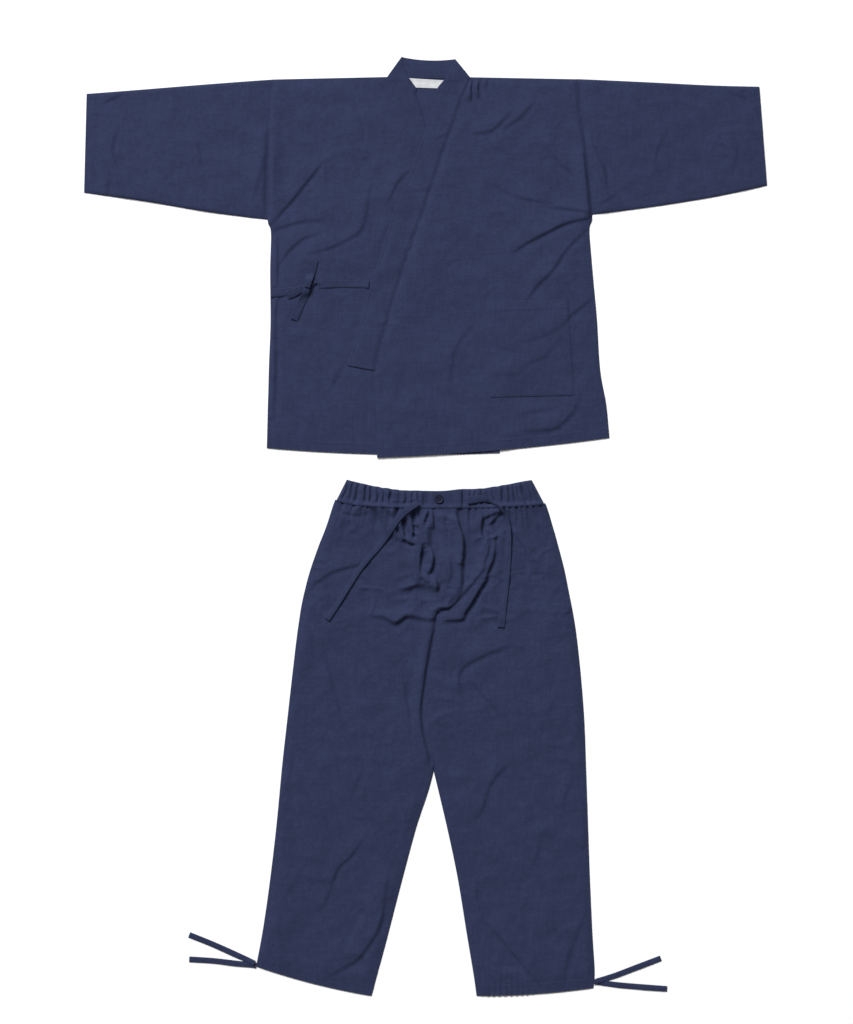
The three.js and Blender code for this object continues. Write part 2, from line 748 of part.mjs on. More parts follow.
function buildTrousers() {
  const rightEdges = tuckIn(rightTrouserBackSections, HIDDEN_INSET, SIDE_GAP);
  const leftEdges = tuckIn(leftTrouserBackSections, SIDE_GAP, HIDDEN_INSET);
  const onBack = { reach: BAND_REACH, lift: backBandGathers };
  const backs = [
    lay('trousers_back_right', sewnToWaist(panelPlan(rightEdges, FLOOR_STEP))),
    lay('trousers_back_left', sewnToWaist(panelPlan(leftEdges, FLOOR_STEP))),
    lay('waistband_back', waistPlan(WAIST_RIGHT_X, WAIST_LEFT_X, HIDDEN_INSET), onBack),
  ];
  backs.forEach(addToPile);

  const laid = (name, sections, folds, lift) => {
    return lay(name, sewnToWaist(panelPlan(sections, PANEL_STEP)), { folds, lift });
  };
  const onBand = { reach: BAND_REACH, lift: gatherHeight };
  const atWaistAndAnkle = (x, y) => gatherBelowBand(x, y) + puckerHeight(x, y);
  const leftPieces = [
    laid('trousers_front_left', leftTrouserSections, leftTrouserFolds, atWaistAndAnkle),
    lay('waistband_front_left', waistPlan(UNDERLAP_X, WAIST_LEFT_X, 0), onBand),
  ];
  leftPieces.forEach(addToPile);
  const rightPieces = [
    laid('trousers_front_right', rightTrouserSections, rightTrouserFolds, gatherBelowBand),
    lay('waistband_front_right', waistPlan(WAIST_RIGHT_X, PLACKET_X, 0), onBand),
  ];
  rightPieces.forEach(addToPile);
}

function buttonGeometry() {
  const circle = (x, y, radius, sides) => Array.from({ length: sides }, (_, i) => {
    const angle = (2 * Math.PI * i) / sides;
    return new THREE.Vector2(x + radius * Math.cos(angle), y + radius * Math.sin(angle));
  });
  const outline = new THREE.Shape(circle(0, 0, BUTTON_RADIUS, 28));
  for (const x of [-BUTTON_HOLE_OFFSET, BUTTON_HOLE_OFFSET]) {
    for (const y of [-BUTTON_HOLE_OFFSET, BUTTON_HOLE_OFFSET]) {
      outline.holes.push(new THREE.Path(circle(x, y, BUTTON_HOLE_RADIUS, 8)));
    }
  }
  return new THREE.ExtrudeGeometry(outline, { depth: BUTTON_THICKNESS, bevelEnabled: false });
}

function buildTrouserTrim() {
  const BUTTON = { x: 26, y: 52 };
  const button = buttonGeometry();
  button.translate(BUTTON.x, BUTTON.y, restingHeight(BUTTON.x, BUTTON.y, BUTTON_RADIUS + SQUARE));
  addMesh('waist_button', button, BUTTON_BLUE, 0.4);

  const cord = { wall: BAND_WALL, reach: TAPE_STEP + 2, colour: DEEP_NAVY };
  lay('drawstring_right', tapePlan(rightDrawstringLine, DRAWSTRING_WIDTH, TAPE_STEP), cord);
  lay('drawstring_left', tapePlan(leftDrawstringLine, DRAWSTRING_WIDTH, TAPE_STEP), cord);

  const besideHem = { ...cord, reach: 1.5 };
  const pairs = [['hem_tie_right', rightHemTieLines], ['hem_tie_left', leftHemTieLines]];
  for (const [name, [lowerLine, upperLine]] of pairs) {
    const lower = lay(`${name}_lower`, tapePlan(lowerLine, HEM_TIE_WIDTH, TAPE_STEP), besideHem);
    addToPile(lower);
    lay(`${name}_upper`, tapePlan(upperLine, HEM_TIE_WIDTH, TAPE_STEP), cord);
  }
}

buildJacket();
buildFastening();
buildTrousers();
buildTrouserTrim();

export default samue;
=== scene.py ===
import math

import bpy
import numpy as np
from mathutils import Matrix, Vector


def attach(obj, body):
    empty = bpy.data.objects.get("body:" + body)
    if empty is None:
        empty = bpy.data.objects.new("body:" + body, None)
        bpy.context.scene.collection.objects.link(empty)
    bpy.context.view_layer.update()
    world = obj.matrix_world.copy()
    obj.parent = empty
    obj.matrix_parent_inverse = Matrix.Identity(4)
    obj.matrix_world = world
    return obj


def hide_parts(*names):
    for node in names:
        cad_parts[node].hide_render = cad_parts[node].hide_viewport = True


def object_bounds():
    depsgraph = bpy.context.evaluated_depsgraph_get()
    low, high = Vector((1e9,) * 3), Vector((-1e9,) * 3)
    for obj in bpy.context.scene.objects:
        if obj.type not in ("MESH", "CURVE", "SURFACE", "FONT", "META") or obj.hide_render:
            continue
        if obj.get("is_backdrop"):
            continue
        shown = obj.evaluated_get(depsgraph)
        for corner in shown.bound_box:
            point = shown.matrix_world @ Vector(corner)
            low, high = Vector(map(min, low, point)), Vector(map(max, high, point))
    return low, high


# A samue set laid flat on a pale floor and seen from straight above: the wrapped jacket,
# and below it the tied trousers. Places and sizes are in millimetres until a mesh is made.
# Left and right in the names are the wearer's, so the right front lies on the -X side.

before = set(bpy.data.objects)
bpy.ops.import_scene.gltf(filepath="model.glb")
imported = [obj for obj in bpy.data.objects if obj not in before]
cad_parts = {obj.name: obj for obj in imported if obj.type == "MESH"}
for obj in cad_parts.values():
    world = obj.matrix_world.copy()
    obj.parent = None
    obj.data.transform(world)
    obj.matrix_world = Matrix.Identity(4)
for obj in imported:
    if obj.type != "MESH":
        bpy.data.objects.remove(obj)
CAD_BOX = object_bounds()
MM = 0.001

# Camera: the photo's middle, from straight above
CAMERA_HEIGHT = 6000
PHOTO_MIDDLE = (1.96, 27.44)
PHOTO_TALL = 2007.04
SENSOR = 36

# Cloth
STEP = 3.05  # mesh spacing on cloth that shows
COARSE = 14.0  # mesh spacing on cloth that rests on the floor
WALL = 0.55
BAND_WALL = 0.95
TAPE_WALL = 0.8
GAP = 0.15  # air between layers
TUCK = 4.0  # how far a back lies inside the edge of the front that closes over it
EDGE = np.array([0.0, 0.7, 2.0, 4.0])  # mesh lines beside an edge, from it
HEM_DEPTH = 20.0
HEM_EDGE = np.array([0.0, 0.7, 2.0, 4.5, 8.0, 12.0, 16.0, 18.4, 20.0, 21.6, 24.0])
HEM_LINE = HEM_DEPTH - 2.2  # the hem's line of stitches, from its edge
LIGHT_SIDE = np.array([-0.45, 0.89])  # where the light comes from, seen in the layout
BAND_LAP = 3.0  # how far a collar band laps over its seam
WAISTBAND_WALL = 1.0
LABEL_WALL = 0.4
FULLEST = 9.0  # height from which the fullness of the trouser fronts is softly held back
WAIST_FULLNESS = 6.2  # height of the trouser fronts' gathers at the waistband
BAND_FULLNESS = 5.6  # height of the front waistband's gathers
STITCH = 3.4  # length of a stitch with its gap
TIE_STITCH = 2.6  # the same on a tie
EDGE_INSET = 2.2  # an edge's line of stitches, from the edge of a tie or a vent
TAPE_STEP = 1.6  # mesh spacing along a tape
TAPE_PARTS = np.array([-0.5, -0.455, -0.38, -0.27, -0.12, 0.0, 0.12, 0.27, 0.38, 0.455, 0.5])
CORD_STEP = 2.6  # mesh spacing along a cord

# Panels: a row is (x, y) on the left edge, (x, y) on the right edge, and how far its middle
# may sag towards -Y.
JACKET_BACK = [
    (-310, 158, 359, 178, 4), (-306.5, 300, 343, 300), (-304, 450, 332, 450), (-303, 575, 321.5, 580),
    (-308.5, 602, 327, 611), (-308, 700, 318, 712), (-307, 790, 306, 800), (-302, 873, 299, 873, -5),
]
NECK_BAND = [(-75, 877.5, 88, 877.5), (-61, 898, 73, 896.5, 1.5), (-46, 919, 58, 915, 4.5)]
NECK_LABEL = [(-37, 859.5, 39, 857), (-36, 877.5, 39, 873)]
RIGHT_FRONT = [
    (-311, 153, 145, 143.5, 8), (-308.5, 250, 148, 245, 3), (-306.7, 318, 150, 304),
    (-303.7, 400, 110, 402), (-304.5, 500, 69, 502), (-303, 575, 39, 575), (-309.5, 601, 27, 604),
    (-308, 680, -5, 680), (-308, 740, -28, 740), (-307, 806, -53, 806), (-302, 875, -75, 880),
]
LEFT_FRONT = [
    (-95, 134, 360, 173, 6), (-97, 225, 354, 238, 3), (-100, 305, 342, 308), (-77, 403, 336, 404),
    (-56, 472, 329.5, 474), (-37, 533, 324, 538), (-22, 575, 321.3, 582), (-10, 608, 327, 610),
    (14, 680, 321, 682), (34, 737, 315, 740), (55, 794, 306, 800), (70, 838, 302, 838),
    (87, 879.5, 299, 875.5),
]
POCKET = [(126, 252, 293, 256), (121, 345, 287, 350), (117, 439, 281, 443.5, -1)]

# Free edges of the collar band, and the height at which its lower end is cut
RIGHT_COLLAR_EDGE = [
    (199, 314), (110, 528), (22, 739), (2, 780), (-12, 828), (-19, 845), (-18, 857), (-26, 869),
    (-35, 882), (-42.5, 899), (-46, 920.5),
]
LEFT_COLLAR_EDGE = [
    (-153, 314), (-127, 403), (-104, 484), (-85, 540), (-67, 604), (-39, 670), (-14, 737),
    (4, 788), (15, 827), (23, 857), (38, 877), (58, 915),
]
COLLAR_END_Y = 303.5

# Sleeves: the fold above and the underarm seam below, from the cuff to the armhole
RIGHT_SLEEVE = [
    (-664, 847, -669, 653), (-560, 855, -550, 636), (-430, 865.5, -428, 615.5), (-303, 875, -310, 600),
]
LEFT_SLEEVE = [
    (654, 861, 669, 667), (560, 863.5, 566, 645), (430, 870, 442, 625), (300, 876, 328, 610),
]

RIGHT_TROUSER = [
    (-177, 45, 70, 31, 7), (-187, 20, 66, 18, 4), (-197.5, -9, 72, -4), (-210.5, -42, 81, -36),
    (-227, -90, 78, -84), (-238, -132, 75, -126), (-243.5, -158, 55, -157), (-247, -180, 25, -174),
    (-253, -223, 17, -223), (-262, -300, 4, -300), (-271, -380, -3, -380), (-281, -470, 16, -472),
    (-292.5, -590, -20, -597), (-305.5, -700, -51, -713, 1), (-318.5, -790, -77.5, -816, 3),
    (-332, -863, -106, -920.5, 5),
]
LEFT_TROUSER = [
    (14, 31, 235, 38, 4), (14, 15, 244, 15, 2), (14, -8, 251.5, -8), (14, -35, 259, -35),
    (14, -85, 272, -85), (14, -130, 281, -130), (14, -176, 290, -176), (11, -223, 297, -223),
    (-1, -300, 305, -300), (-8, -380, 311, -380), (14, -472, 314.5, -472), (42, -590, 318.5, -588),
    (63, -690, 322, -690), (81, -800, 327, -800), (94, -878, 331.5, -872, 2),
    (100, -920.5, 329, -905, 4),
]
RIGHT_TROUSER_BACK = [
    (-176, 44, 22, 31, 6), (-197.5, -9, 24, -9), (-227, -90, 25, -90), (-246, -178, 25, -178),
    *RIGHT_TROUSER[10:15], (-330, -861, -105, -918.5, 5),
]
LEFT_TROUSER_BACK = [
    (22, 31, 234, 38, 3), (24, -9, 251.5, -9), (25, -90, 273, -90), (25, -178, 290, -178),
    (-3, -380, 311, -380), (16, -472, 314.5, -472), *LEFT_TROUSER[11:14], (99.5, -919, 328, -903, 4),
]
CROTCH_Y = -472

# Waistband: a row runs up the band
WAIST = [
    (-177, 45.5, -154, 91), (-138, 37.5, -127, 84), (-96, 34, -92, 76.5), (-48, 32, -47, 70.8),
    (0, 31.5, 0, 69), (36, 31.5, 36, 69), (71, 31.5, 71, 72.5), (108, 32, 110, 73.5),
    (150, 33.5, 149, 79.5), (192, 35.5, 181, 86), (235, 38.5, 208, 90.5),
]
PLACKET = (-2, 71)  # where the two halves of the waistband lap, pressed flat
WAIST_UNDERLAP = 6  # how far the trouser panels run up under the band

# Gathers of the waistband: x of the valley, depth, half width, lean
GATHERS = [
    (-168, 0.6, 3.0, 0.25), (-160, 0.85, 3.5, 0.25), (-147, 0.5, 3.0, 0.25), (-136, 1.0, 3.6, 0.30),
    (-119, 0.85, 3.0, 0.20), (-109, 0.9, 3.0, 0.22), (-93, 0.95, 3.2, 0.10), (-81, 0.5, 3.5, 0.05),
    (-68, 0.95, 3.0, 0.08), (-53, 0.95, 3.0, 0.05), (-39, 0.95, 2.8, 0.04), (-25, 0.8, 2.6, 0.0),
    (-14, 0.7, 2.6, -0.03), (87, 0.7, 3.5, 0.0), (98, 0.6, 3.0, -0.05), (111, 0.8, 3.0, -0.05),
    (123, 0.5, 2.6, -0.05), (133, 0.6, 3.2, -0.08), (151, 0.9, 3.0, -0.10), (163, 0.8, 2.6, -0.12),
    (174, 1.0, 3.0, -0.15), (184, 0.6, 2.6, -0.18), (194, 0.9, 3.2, -0.22), (206, 0.9, 3.2, -0.30),
    (219, 0.7, 3.2, -0.40),
]

# Ridges of the waistband beside the placket: x, height (a dip is below 0), half width
BAND_RIDGES = [(-7.5, 1.8, 3.0), (3.5, -0.8, 4.0), (14, 0.7, 4.0), (42, 0.5, 6.0), (65, 0.9, 3.5)]

# Creases: rise, width of the steep shaded flank, width of the soft lit side, then the
# places the shaded flank runs through
RIGHT_SLEEVE_CREASES = [
    (1.5, 5.5, 20, -591, 849, -628, 830), (2.1, 6, 24, -607, 768, -613, 731, -597, 686),
    (1.7, 5.5, 20, -646, 708, -622, 680, -625, 652), (1.9, 7, 30, -448, 755, -436, 698),
    (1.1, 7, 24, -520, 700, -490, 660), (3.0, 5.5, 16, -310, 772, -313, 700, -315, 650, -314, 614),
    (1.7, 6, 22, -318, 716, -326, 680, -336, 648), (1.2, 5, 9, -346, 644, -330, 626, -316, 616),
    (0.9, 5, 8, -352, 628, -334, 614),
]
LEFT_SLEEVE_CREASES = [
    (3.0, 6, 24, 322, 765, 336, 728, 350, 700, 356, 655), (1.4, 7, 24, 470, 770, 452, 728, 455, 690),
    (1.5, 6, 20, 596, 790, 610, 742, 602, 700), (1.1, 5.5, 16, 628, 838, 600, 848),
    (1.0, 5, 12, 372, 650, 352, 636, 336, 628),
]
RIGHT_FRONT_CREASES = [
    (2.9, 6, 26, -292, 603, -261, 638, -234, 672, -206, 707),
    (1.9, 6.5, 22, -298, 580, -253, 594, -207, 599),
    (2.1, 6, 22, -285, 514, -268, 538, -241, 562, -213, 572),
    (1.8, 6, 22, -223, 535, -179, 548, -130, 576, -117, 610, -110, 659),
    (1.9, 5.5, 18, -37, 693, -55, 672, -72, 638), (1.1, 5.5, 16, -68, 603, -89, 555),
    (3.0, 5.5, 9, -291, 560, -290, 520, -291, 472),
    (3.5, 6, 9, -288, 452, -292, 431, -294, 390, -294, 318, -296, 259, -297, 215),
    (1.1, 5.5, 16, -254, 218, -230, 206, -206, 190), (0.9, 5.5, 14, -225, 225, -219, 195),
    (1.0, 6, 18, -160, 320, -190, 262), (1.0, 7, 22, -180, 790, -140, 740),
]
LEFT_FRONT_CREASES = [
    (3.5, 5, 12, 310, 728, 315, 680, 319, 645, 321, 612), (1.9, 6, 22, 228, 755, 255, 720, 290, 686),
    (2.0, 5, 14, 320, 614, 276, 621, 248, 624),
    (3.3, 6, 24, 321, 603, 276, 593, 241, 576, 200, 555, 179, 541),
    (2.5, 6, 22, 310, 576, 276, 541, 248, 500, 221, 473, 200, 445),
    (1.8, 6, 20, 97, 769, 131, 776, 166, 810), (1.7, 6, 20, 159, 783, 185, 800, 207, 824),
    (1.4, 7, 20, 132, 670, 173, 647, 238, 633), (1.8, 6, 20, 324, 444, 281, 410, 240, 381, 188, 362),
    (1.5, 6, 18, 259, 368, 228, 334, 196, 321, 177, 303, 134, 300), (1.3, 5.5, 16, 143, 357, 187, 341),
    (1.0, 5.5, 14, 193, 221, 237, 228), (2.2, 8, 24, 303, 259, 290, 225, 270, 203, 248, 190, 196, 186),
    (1.5, 6.5, 20, 87, 388, 56, 341, 49, 274), (1.0, 6.5, 20, 20, 470, 60, 430),
    (5.6, 4.5, 8, 90, 873, 89, 855, 90, 838), (4.2, 4.5, 7, 104, 874, 103, 856, 106, 844),
    (1.7, 4.5, 8, 120, 876, 119, 860),
]
LEFT_COLLAR_CREASES = [
    (1.0, 4.5, 10, *places) for places in (
        (-37, 655, 5, 659), (-6, 604, 23, 607), (-40, 540, 10, 546), (-30, 474, -6, 496),
        (-96, 392, -66, 400), (22, 760, 44, 768),
    )
]
RIGHT_TROUSER_CREASES = [
    (7.0, 8, 12, -14, 38, -34, 20, -50, 4, -60, -12), (10.0, 5, 8, -48, 12, -43, -8, -40, -24),
    (9.0, 5, 8, -40, -27, -30, -33, -12, -34), (6.0, 4.5, 7, -58, -5, -52, -23),
    (10.0, 4.5, 7, -29, 24, -25.5, 5, -24, -8, -26, -26), (6.5, 4.5, 7, -21, 1, -14, -2, -9.5, -13),
    (9.0, 4, 7, -22, -14, -14, -24, -9, -33),
    (13.5, 6.5, 12, -9.5, -27, -8.5, -45, -10.5, -66, -11.5, -86, -9.5, -98),
    (6.0, 5, 8, -10, -97, -3, -104, 2, -109), (7.5, 5, 8, 5, 28, 0, 14, -4.5, 2),
    (6.5, 4.5, 8, 13, 32, 15.5, 18, 16.5, 0), (9.0, 16, 14, 8, 10, 7, -20, 6, -46),
    (9.5, 5, 9, 13, -46, 16.5, -62, 14, -80, 10.5, -89), (2.5, 5, 7, -2, -67, 5, -71),
    (6.0, 14, 10, 4, -72, 6, -104), (7.0, 6, 9, 16, -98, 22, -106, 24, -117, 24, -124),
    (5.0, 11, 12, -40, -126, -25, -120, -12, -116, 8, -119, 24, -121),
    (5.4, 7, 14, -99, -177, -79, -180, -62, -190, -51, -186, -38, -178, -23, -178, 3, -184, 14, -183),
    (2.6, 4.5, 7, 28, -160, 48, -164, 60, -155), (1.8, 4.5, 5, 30, -168, 50, -171, 62, -161),
    (9.0, 5, 9, 68, 22, 67, 7, 74, -14, 76, -36, 75.5, -51, 73.5, -71),
    (4.0, 6, 9, 73.5, -66, 72, -88, 73, -106, 72, -119), (3.0, 12, 9, 66, 34, 62, 18, 66, 0),
    (2.0, 5, 9, 40, 22, 36, 4, 42, -14), (2.2, 5, 9, 46, -58, 52, -88, 44, -112),
    (4.0, 5, 8, -75, 34, -63, 14), (3.0, 4.5, 6, -61, 38, -60, 24),
    (4.0, 6, 16, -112, 40, -97, 29, -78, -4), (1.8, 5, 12, -172, 33, -150, 24, -128, 21),
    (2.3, 7, 26, -222, -120, -203, -103, -176, -88, -130, -76),
    (1.6, 6, 20, -230, -205, -224, -232, -219, -260),
    (2.1, 6.5, 24, -198, -250, -180, -320, -158, -398), (1.7, 6, 20, -46, -288, -36, -350, -27, -418),
    (4.5, 5, 16, 22, -178, 19, -196, 11, -223, -2, -300, -9, -380, 6, -455),
    (1.1, 6, 18, -20, -384, -18, -448), (1.5, 6, 18, -258, -448, -266, -484, -274, -516),
    (1.2, 6, 18, -206, -550, -192, -585),
    (2.2, 6.5, 24, -128, -622, -149, -650, -171, -671, -188, -718, -200, -742),
    (1.7, 6, 18, -291, -776, -281, -814, -266, -854),
    (2.5, 7, 26, -76, -702, -89, -781, -116, -828, -138, -853, -180, -876),
    (1.1, 8, 28, -120, -470, -150, -540),
]
LEFT_TROUSER_CREASES = [
    (4.5, 5.5, 12, 151, 29, 137, 25, 119, 17, 112, 11, 110, -9, 115, -27, 121, -36),
    (3.6, 5, 10, 149, 29, 134, 11, 125, 3), (2.9, 5, 8, 128, -3, 140, -18, 134, -24),
    (3.6, 5.5, 12, 122, -27, 125, -41, 118, -65, 113, -83),
    (5.8, 6, 20, 137, -30, 134, -62, 122, -92, 119, -106, 107, -124, 90, -153, 78, -171, 72, -183,
      45, -186),
    (2.9, 5.5, 12, 116, -83, 107, -94, 90, -115, 72, -136, 57, -153),
    (3.6, 6, 18, 175, -18, 190, -38, 199, -59, 207, -80),
    (2.4, 7, 24, 162, -236, 104, -259, 68, -287, 71, -336),
    (1.9, 6, 22, 88, -302, 115, -333, 144, -366), (1.5, 6, 20, 207, -236, 233, -287),
    (1.2, 6, 18, 252, -346, 238, -372), (1.9, 6.5, 24, 155, -472, 126, -510, 115, -548, 100, -570),
    (1.4, 6, 18, 284, -502, 268, -546), (1.5, 6, 18, 99, -700, 106, -746, 136, -786),
    (2.7, 6, 22, 126, -780, 152, -814, 184, -852, 214, -888),
    (2.1, 9, 28, 311, -764, 290, -814, 275, -861, 273, -892), (1.1, 8, 28, 230, -610, 205, -680),
]

# Seams that show as a soft line on a panel
RIGHT_INSEAM = [(-32, -560), (-39, -586), (-56, -649), (-77, -715), (-86, -790), (-93, -870)]
LEFT_INSEAM = [
    (14, -330), (30, -408), (46, -509), (60, -590), (74, -667), (90, -780), (104, -858),
    (108, -913),
]
FLY_STITCHES = [
    [(-15, -127), (-15.5, -150), (-14, -175)],
    [(-7.6, -127), (-7.5, -150), (-4, -172)],
    [(-1.7, -127), (-1, -150), (4, -167), (12, -173), (25, -174)],
    [(23.5, -46), (24.5, -90), (25, -130), (24.5, -176)],
]
COLLAR_JOIN = [(-113, 462), (-90, 457.5), (-66, 451.5)]
CENTRE_SEAM_STITCH = [(22, -184), (13, -223), (0, -300), (-7, -380), (10, -462)]

# Tapes: places of the middle line
SIDE_TIE = [(-303.5, 456.5), (-285, 457), (-262, 460), (-240, 466)]
COLLAR_TIE = [(-111, 473), (-150, 474), (-185, 474), (-209, 473.5)]
UPPER_TAIL = [(-219, 520.5), (-221.5, 506), (-225.5, 490), (-229.5, 475), (-232, 467)]
LOWER_TAIL = [(-227, 478), (-231, 464), (-240, 443), (-250, 422), (-258, 404)]
BOW_LOOP = [(-234, 468), (-246, 462), (-259, 456), (-271, 451.5)]
KNOT = (-226, 473)
KNOT_WRAP = [(-216, 481), (-221, 477), (-227, 472), (-233, 467), (-239, 464)]
RIGHT_DRAWSTRING = [
    (-14, 46), (-34, 33), (-51, 18), (-63, 2), (-76, -18), (-93, -41), (-113, -64),
    (-131, -87), (-147, -112), (-165, -141), (-181, -166), (-193, -183),
]
LEFT_DRAWSTRING = [
    (82, 50.5), (95, 51.5), (109, 53.5), (123, 51), (137, 43.5), (149, 33), (158, 18), (162.5, 2),
    (162.5, -20), (161.5, -50), (160.5, -80), (157, -120), (152.5, -158), (148, -199),
]
HEM_TIES = {
    "hem_tie_right_lower": [(-332.5, -861), (-372, -857), (-416, -852), (-463, -849)],
    "hem_tie_right_upper": [(-334, -857), (-371, -840), (-416, -820), (-463, -801)],
    "hem_tie_left_lower": [(330.7, -893), (375, -899), (420, -903), (473, -907)],
    "hem_tie_left_upper": [(334, -892), (371, -881), (416, -864), (461, -847)],
}
DRAWSTRING_WIDTH = 13.5
HEM_TIE_WIDTH = 11.0
CORD_THICKNESS = 1.7
BUTTON = (26.5, 53)
BUTTON_RADIUS = 8.8
BUTTON_THICKNESS = 2.6
BUTTON_RIM = 1.9
BUTTON_DISH = 0.7


# Shapes of curves and heights
def smooth(value):
    part = np.clip(value, 0, 1)
    return part * part * (3 - 2 * part)


def bell(value):
    """1 at 0, falling away on both sides of it."""
    return np.exp(-(value**2))


def curve(places, parts):
    """Points of a smooth curve through the places, at parts of it from 0 to 1."""
    p = np.asarray(places, float)
    last = len(p) - 1
    along = np.clip(parts, 0, 1) * last
    i = np.minimum(along.astype(int), last - 1)
    t = (along - i)[:, None]
    before, here = p[np.maximum(i - 1, 0)], p[i]
    there, after = p[i + 1], p[np.minimum(i + 2, last)]
    leave, reach = (there - before) / 2, (after - here) / 2
    cubic = 2 * here - 2 * there + leave + reach
    square = -3 * here + 3 * there - 2 * leave - reach
    return ((cubic * t + square) * t + leave) * t + here


def run_of(points):
    """How far along its line each point lies."""
    steps = np.hypot(*np.diff(points[:, :2], axis=0).T)
    return np.concatenate([[0], np.cumsum(steps)])


def at_runs(at, run, points):
    """Points of a line at distances along it."""
    return np.stack([np.interp(at, run, points[:, k]) for k in range(points.shape[1])], axis=1)


def even_line(places, step):
    """Points of the smooth curve through the places, evenly a step apart."""
    fine = curve(places, np.linspace(0, 1, 40 * len(places)))
    run = run_of(fine)
    return at_runs(np.linspace(0, run[-1], max(2, round(run[-1] / step) + 1)), run, fine)


def headings(line):
    """Unit directions along a line."""
    ahead = np.gradient(line[:, :2], axis=0)
    return ahead / np.hypot(*ahead.T)[:, None]


def leftwards(ahead):
    return np.stack([-ahead[:, 1], ahead[:, 0]], axis=1)


def close_to(x, y, line, reach):
    """Which places lie in the box round a line, widened by the reach."""
    low, high = line.min(axis=0) - reach, line.max(axis=0) + reach
    return (x > low[0]) & (x < high[0]) & (y > low[1]) & (y < high[1])


def marks(lengths, count, first, last, early=None):
    """Distances along each length: the first and last ones given, the others evenly between.
    Early gives the share of them that lies within a share of the length at its start."""
    lengths = np.asarray(lengths, float)[:, None]
    parts = np.linspace(0, 1, count + 2)[1:-1]
    if early is not None:
        parts = np.interp(parts, (0, early[0], 1), (0, early[1], 1))
    middle = first[-1] + (lengths - first[-1] - last[-1]) * parts
    return np.hstack([first + 0 * lengths, middle, lengths - last[::-1]])


def blend_corners(grid, u, v, eased):
    """The grid's values between its corners, at column u and row v. The grid repeats."""
    i, j = np.floor(u).astype(int), np.floor(v).astype(int)
    a, b = eased(u - i), eased(v - j)
    corner = lambda m, n: grid[(j + n) % grid.shape[0], (i + m) % grid.shape[1]]
    low = corner(0, 0) * (1 - a) + corner(1, 0) * a
    high = corner(0, 1) * (1 - a) + corner(1, 1) * a
    return low * (1 - b) + high * b


def drift(x, y, size, seed):
    """Smooth uneven waves of about that size, from -1 to 1."""
    grid = np.random.default_rng(seed).uniform(-1, 1, (97, 97))
    return blend_corners(grid.T, x / size + 37.3, y / size + 41.7, smooth)


def creased(x, y, creases):
    """Height of the creases: a crest on the lit side of a steep flank, and a dip at its foot."""
    total = np.zeros_like(x)
    for rise, steep, soft, *numbers in creases:
        line = even_line(np.reshape(numbers, (-1, 2)), 3)
        near = close_to(x, y, line, 2.2 * soft + steep)
        if not near.any():
            continue
        away = np.stack([x[near], y[near]], axis=1)[:, None] - line
        nearest = (away**2).sum(axis=2).argmin(axis=1)
        away = away[np.arange(len(nearest)), nearest]
        ahead = headings(line)
        aside = leftwards(ahead)
        if (aside @ LIGHT_SIDE).sum() < 0:
            aside = -aside
        across = (away * aside[nearest]).sum(axis=1)
        beyond = (away * ahead[nearest]).sum(axis=1)
        swell = np.sin(math.pi * (0.06 + 0.88 * nearest / (len(line) - 1))) ** 0.4
        crest = smooth(across / steep + 0.5) * bell(np.maximum(across - steep / 2, 0) / soft)
        foot = 0.35 * bell((across + 0.9 * steep) / (0.8 * steep))
        total[near] += rise * swell * bell(beyond / (0.5 * soft)) * (crest - foot)
    return total


def line_dent(x, y, places, width):
    """1 on a line of places, falling to 0 beside it."""
    line = even_line(places, 3)
    closest = np.full(x.shape, 1e9)
    near = close_to(x, y, line, 15)
    gaps = np.hypot(x[near][:, None] - line[:, 0], y[near][:, None] - line[:, 1])
    closest[near] = gaps.min(axis=1)
    return bell(closest / width)


class Plan:
    """Places of a cloth's mesh points, in rows, and how far each lies from the four edges."""

    def __init__(self, x, y):
        self.x, self.y = x, y
        across = np.hypot(np.diff(x, axis=1), np.diff(y, axis=1))
        along = np.hypot(np.diff(x, axis=0), np.diff(y, axis=0))
        self.left = np.pad(np.cumsum(across, axis=1), ((0, 0), (1, 0)))
        self.right = self.left[:, -1:] - self.left
        self.start = np.pad(np.cumsum(along, axis=0), ((1, 0), (0, 0)))
        self.end = self.start[-1:] - self.start

    def flat(self):
        """Width, length and area of the cloth laid out."""
        dx_a, dy_a = np.diff(self.x, axis=1)[:-1], np.diff(self.y, axis=1)[:-1]
        dx_b, dy_b = np.diff(self.x, axis=0)[:, :-1], np.diff(self.y, axis=0)[:, :-1]
        area = np.abs(dx_a * dy_b - dy_a * dx_b).sum()
        return self.left[:, -1].max(), self.start[-1].max(), area


def rows_between(near, far, step, first=EDGE, last=EDGE, early=None, columns=None):
    """Points in rows from one line across to another, and their share of the way."""
    width = np.hypot(*(far - near).T)
    share = marks(width, columns or round(width.max() / step), first, last, early) / width[:, None]
    x, y = np.moveaxis(near[:, None] + (far - near)[:, None] * share[..., None], -1, 0)
    return x, y, share


def side_lines(rows, count):
    """Two smooth lines through the rows' ends, and how far along them each point lies."""
    table = np.array([tuple(row) + (0,) * (5 - len(row)) for row in rows], float)
    parts = np.linspace(0, 1, count)
    edges = [curve(table[:, k : k + 2], parts) for k in (0, 2)]
    sag = np.interp(parts * (len(rows) - 1), range(len(rows)), table[:, 4])
    return edges, [run_of(edge) for edge in edges], sag


